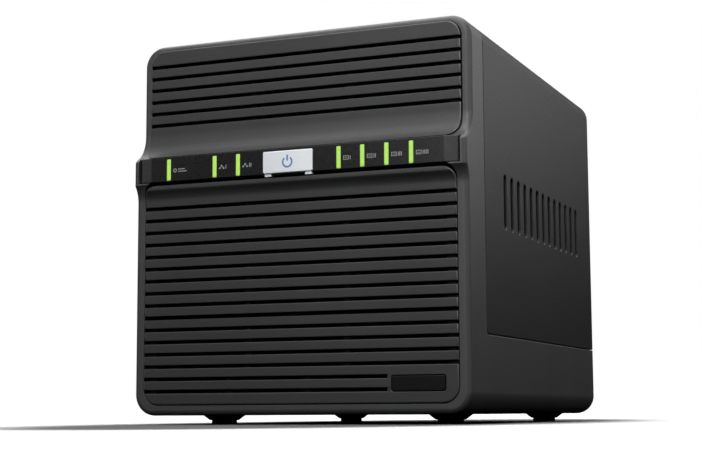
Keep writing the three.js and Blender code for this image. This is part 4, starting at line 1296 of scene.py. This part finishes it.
for node in ("usb_port_1", "usb_port_2"):
    stand_in(node, build_port_shell(node, 0.9))
    piece(node + "_springs", build_usb_springs(node), PORT, node)
    piece(node + "_tongue", build_usb_tongue(node), SOCKET, node, "socket_plastic")
    piece(node + "_contacts", build_usb_contacts(node), GOLD, node)
for node in ("lan_port_1", "lan_port_2"):
    stand_in(node, build_port_shell(node, 0.5))
    piece(node + "_insert", build_lan_insert(node), SOCKET, node, "socket_plastic")
    piece(node + "_pins", build_lan_pins(node), GOLD, node)
    piece(node + "_windows", build_lan_windows(node), AMBER, node, "green_lens")

jack_low, jack_high = span("dc_jack")
jack_x, _, jack_z = centre("dc_jack")
jack_pin = rod(jack_x, jack_z, 1.05, jack_low.y + 3, jack_high.y - 1.6, count=24, edge=0.4)
piece("dc_jack_pin", jack_pin, POLISHED, "dc_jack", "polished_steel")
panel_spots = [(x, z) for x in (-75.5, 75.5) for z in (13.5, 33.5)] + [(37, 33.5), (-37, 33.5)]
panel_screws = placed(build_screw(2.6, 1.2), panel_spots, span("io_panel")[0].y + 1.2)
piece("panel_screws", panel_screws, ZINC, "io_panel", "polished_steel")
bar_spots = [(x, centre("rear_crossbar")[2]) for x in (-50, -18, 18, 50)]
bar_screws = placed(build_screw(2.4, 1.1), bar_spots, span("rear_crossbar")[1].y)
piece("crossbar_screws", bar_screws, ZINC, "rear_crossbar", "polished_steel")


# ------------------------------------------------------------------ boards
def build_chips(top):
    """Flat black packages on the mainboard: a processor beside the heat sink, memory, bridges, coils."""
    chips = [(-52, 12, 14, 14), (-52, 34, 11, 11), (48, 6, 10, 10), (40, 66, 7, 7)]
    chips += [(x, -14, 12, 8) for x in (-34, -14, 6, 26)] + [(x, 66, 8, 8) for x in (-4, -24)]
    return merged([
        box(x - w / 2, x + w / 2, y - d / 2, y + d / 2, top, top + 1.1, 0.15) for x, y, w, d in chips
    ])


def build_capacitors(top):
    """Upright round cans in a row by the power jack and along the board's front."""
    spots = [(x, 80) for x in (56, 47, 38)] + [(60, y) for y in (30, 39, 48, 57)] + [(-62, -16), (-62, -6)]
    stations = [(0.3, top), (0, top + 0.3), (0, top + 6.6), (0.5, top + 7.2)]
    return merged([sweep(circle(x, y, 3.1, 24), stations, "z") for x, y in spots])


def build_socket_contacts():
    """The thin gold strips on each drive socket's tongue."""
    count, margin, half = 22, 4, 0.35
    strips = []
    for node in [f"drive_socket_{k}" for k in range(1, 5)]:
        low, high = span(node)
        x = centre(node)[0]
        for i in range(count):
            z = low.z + margin + i * (high.z - low.z - 2 * margin) / (count - 1)
            strips.append(box(x - 1.7, x + 1.7, high.y - 0.05, high.y + 0.12, z - half, z + half))
    return merged(strips)


board_face = span("mainboard")[1].z - 0.05
piece("board_chips", build_chips(board_face), SOCKET, "mainboard")
piece("board_capacitors", build_capacitors(board_face), FINS, "mainboard")
piece("socket_contacts", build_socket_contacts(), GOLD, "drive_socket_1")


# ------------------------------------------------------------------ carried-over CAD nodes
WELD_DISTANCE = 1e-6
FLAT, CREASE = math.radians(1), math.radians(40)
NODE_BEVEL = 0.15


def finish_nodes():
    """Gives each CAD node its material and a fine bevel; its own mesh stays as it is."""
    for name, slot in SLOT_OF.items():
        node = frame["nodes"][name]
        node.data.materials.clear()
        node.data.materials.append(SLOT_MATERIALS[slot])
        modify(node, "WELD", merge_threshold=WELD_DISTANCE)
        modify(node, "DECIMATE", decimate_type="DISSOLVE", angle_limit=FLAT)
        modify(node, "BEVEL", width=NODE_BEVEL * MM, segments=2, limit_method="ANGLE", angle_limit=CREASE)
        modify(node, "WEIGHTED_NORMAL", keep_sharp=True)


finish_nodes()


# ------------------------------------------------------------------ stage, light and camera
CAMERA_PLACE = (284.24, -731.11, 5.36)
CAMERA_YAW, CAMERA_PITCH, CAMERA_ROLL = -0.3924, 0.1221, -0.0052
CAMERA_LENS, SENSOR_WIDTH = 76.48, 36
FLOOR_HALF = 9000
FLOOR_SKY_POWER, FLOOR_SKY_ANGLE = 4.4, 66
FLAG_HEIGHT = 50
FLAG_ACROSS, FLAG_ALONG = 122, 310
LIGHT_AIM = (0, 0, 90)


def stage_material():
    """White paper, very slightly mottled."""
    n = Nodes("studio_floor")
    paper = n.spread(n.noise(60, 2.0), 0.86, 0.9)
    colour = n.feed(n.add("ShaderNodeCombineColor"), Red=paper, Green=paper, Blue=paper)
    return n.finish(Base_Color=colour.outputs["Color"], Roughness=0.9, Specular_IOR_Level=0.1)


def linked(name, data):
    """A new object in the scene for a lamp's or a camera's data."""
    made = bpy.data.objects.new(name, data)
    SCENE.collection.objects.link(made)
    return made


def unseen_by(obj, *rays):
    for ray in rays:
        setattr(obj, "visible_" + ray, False)


def link_light(lamp, floor, flag=None):
    """Keeps a lamp's light to the floor alone; with a flag, off the floor and unblocked by the flag."""
    receivers = bpy.data.collections.new(lamp.name + "_receivers")
    receivers.objects.link(floor)
    receivers.collection_objects[0].light_linking.link_state = "EXCLUDE" if flag else "INCLUDE"
    lamp.light_linking.receiver_collection = receivers
    if flag:
        blockers = bpy.data.collections.new(lamp.name + "_blockers")
        blockers.objects.link(flag)
        blockers.collection_objects[0].light_linking.link_state = "EXCLUDE"
        lamp.light_linking.blocker_collection = blockers


def build_stage():
    """A wide pale floor with a lamp of its own, which leaves a soft shadow under the object."""
    size = FLOOR_HALF
    sheet = [(-size, -size, 0), (size, -size, 0), (size, size, 0), (-size, size, 0)]
    floor = add_object("studio_floor", sheet, [(0, 1, 2, 3)])
    floor.data.materials.append(stage_material())
    unseen_by(floor, "glossy", "diffuse")
    sky = bpy.data.lights.new("floor_light", "SUN")
    sky.energy = FLOOR_SKY_POWER
    sky.angle = math.radians(FLOOR_SKY_ANGLE)
    link_light(linked("floor_light", sky), floor)
    return floor


def build_flag():
    """An oval studio flag over the floor. It widens the object's soft shadow and is itself unseen."""
    turns = full_turn(64)
    rim = [(FLAG_ACROSS * math.cos(t), FLAG_ALONG * math.sin(t), FLAG_HEIGHT) for t in turns]
    flag = add_object("flag", rim, [tuple(range(len(rim)))])
    flag.data.materials.append(SOCKET)
    unseen_by(flag, "camera", "diffuse", "glossy", "transmission")
    return flag


def build_world():
    """White behind the object; a soft dimmer sky lights it."""
    world = bpy.data.worlds.new("studio")
    SCENE.world = world
    world.use_nodes = True
    tree = world.node_tree
    tree.nodes.clear()
    add, link = tree.nodes.new, tree.links.new
    out, mixer, path = add("ShaderNodeOutputWorld"), add("ShaderNodeMixShader"), add("ShaderNodeLightPath")
    seen, sky = add("ShaderNodeBackground"), add("ShaderNodeBackground")
    seen.inputs["Color"].default_value = (1, 1, 1, 1)
    sky.inputs["Strength"].default_value = 0.03
    coordinates, split = add("ShaderNodeTexCoord"), add("ShaderNodeSeparateXYZ")
    remap, ramp = add("ShaderNodeMapRange"), add("ShaderNodeValToRGB")
    remap.inputs["From Min"].default_value = -1
    stops = ramp.color_ramp.elements
    stops[0].position, stops[0].color = 0.49, (0.02, 0.02, 0.02, 1)
    stops[1].position, stops[1].color = 1.0, (1, 1, 1, 1)
    stops.new(0.56).color = (0.55, 0.55, 0.56, 1)
    link(coordinates.outputs["Generated"], split.inputs["Vector"])
    link(split.outputs["Z"], remap.inputs["Value"])
    link(remap.outputs["Result"], ramp.inputs["Fac"])
    link(ramp.outputs["Color"], sky.inputs["Color"])
    link(path.outputs["Is Camera Ray"], mixer.inputs["Fac"])
    link(sky.outputs["Background"], mixer.inputs[1])
    link(seen.outputs["Background"], mixer.inputs[2])
    link(mixer.outputs["Shader"], out.inputs["Surface"])


def softbox(name, place, target, width, height, power):
    """A rectangular lamp in millimetres and watts that lights everything except the floor."""
    light = bpy.data.lights.new(name, "AREA")
    light.shape = "RECTANGLE"
    light.size, light.size_y = width * MM, height * MM
    light.energy = power
    made = linked(name, light)
    made.location = Vector(place) * MM
    made.rotation_euler = (Vector(target) - Vector(place)).to_track_quat("-Z", "Y").to_euler()
    link_light(made, FLOOR, FLAG)


def build_lights():
    """Large soft lamps above, in front and behind, so that every flat side fades from its top down."""
    softbox("overhead", (0, -50, 900), (0, -50, 0), 900, 900, 10.8)
    softbox("front_high", (100, -900, 700), LIGHT_AIM, 700, 500, 6.2)
    softbox("front_fill", (0, -1150, 330), LIGHT_AIM, 500, 400, 1.5)
    softbox("left_front", (-800, -700, 450), LIGHT_AIM, 500, 500, 1.1)
    softbox("left_back", (-600, 300, 700), LIGHT_AIM, 500, 500, 1.8)
    softbox("right_back", (500, 500, 450), LIGHT_AIM, 500, 500, 1.5)
    softbox("right_front", (860, -350, 430), (0, 0, 120), 250, 350, 1.8)
    softbox("right_back_top", (350, 500, 750), (HALF, 0, 120), 500, 400, 0.5)
    softbox("right_front_high", (700, -450, 500), LIGHT_AIM, 500, 500, 0.6)


def build_camera():
    """A long lens close to the desk, turned a little to the left and up."""
    yaw, pitch, roll = CAMERA_YAW, CAMERA_PITCH, CAMERA_ROLL
    ahead = Vector((math.sin(yaw) * math.cos(pitch), math.cos(yaw) * math.cos(pitch), math.sin(pitch)))
    right = Vector((math.cos(yaw), -math.sin(yaw), 0))
    up = right.cross(ahead)
    across = right * math.cos(roll) + up * math.sin(roll)
    upright = -right * math.sin(roll) + up * math.cos(roll)
    turn = Matrix((across, upright, -ahead)).transposed().to_4x4()
    data = bpy.data.cameras.new("camera")
    data.lens = CAMERA_LENS
    data.sensor_width = SENSOR_WIDTH
    camera = linked("camera", data)
    camera.matrix_world = Matrix.Translation(Vector(CAMERA_PLACE) * MM) @ turn
    SCENE.camera = camera


FLOOR = build_stage()
FLAG = build_flag()
build_world()
build_lights()
build_camera()
SCENE.view_settings.view_transform = "Standard"
SCENE.view_settings.look = "None"
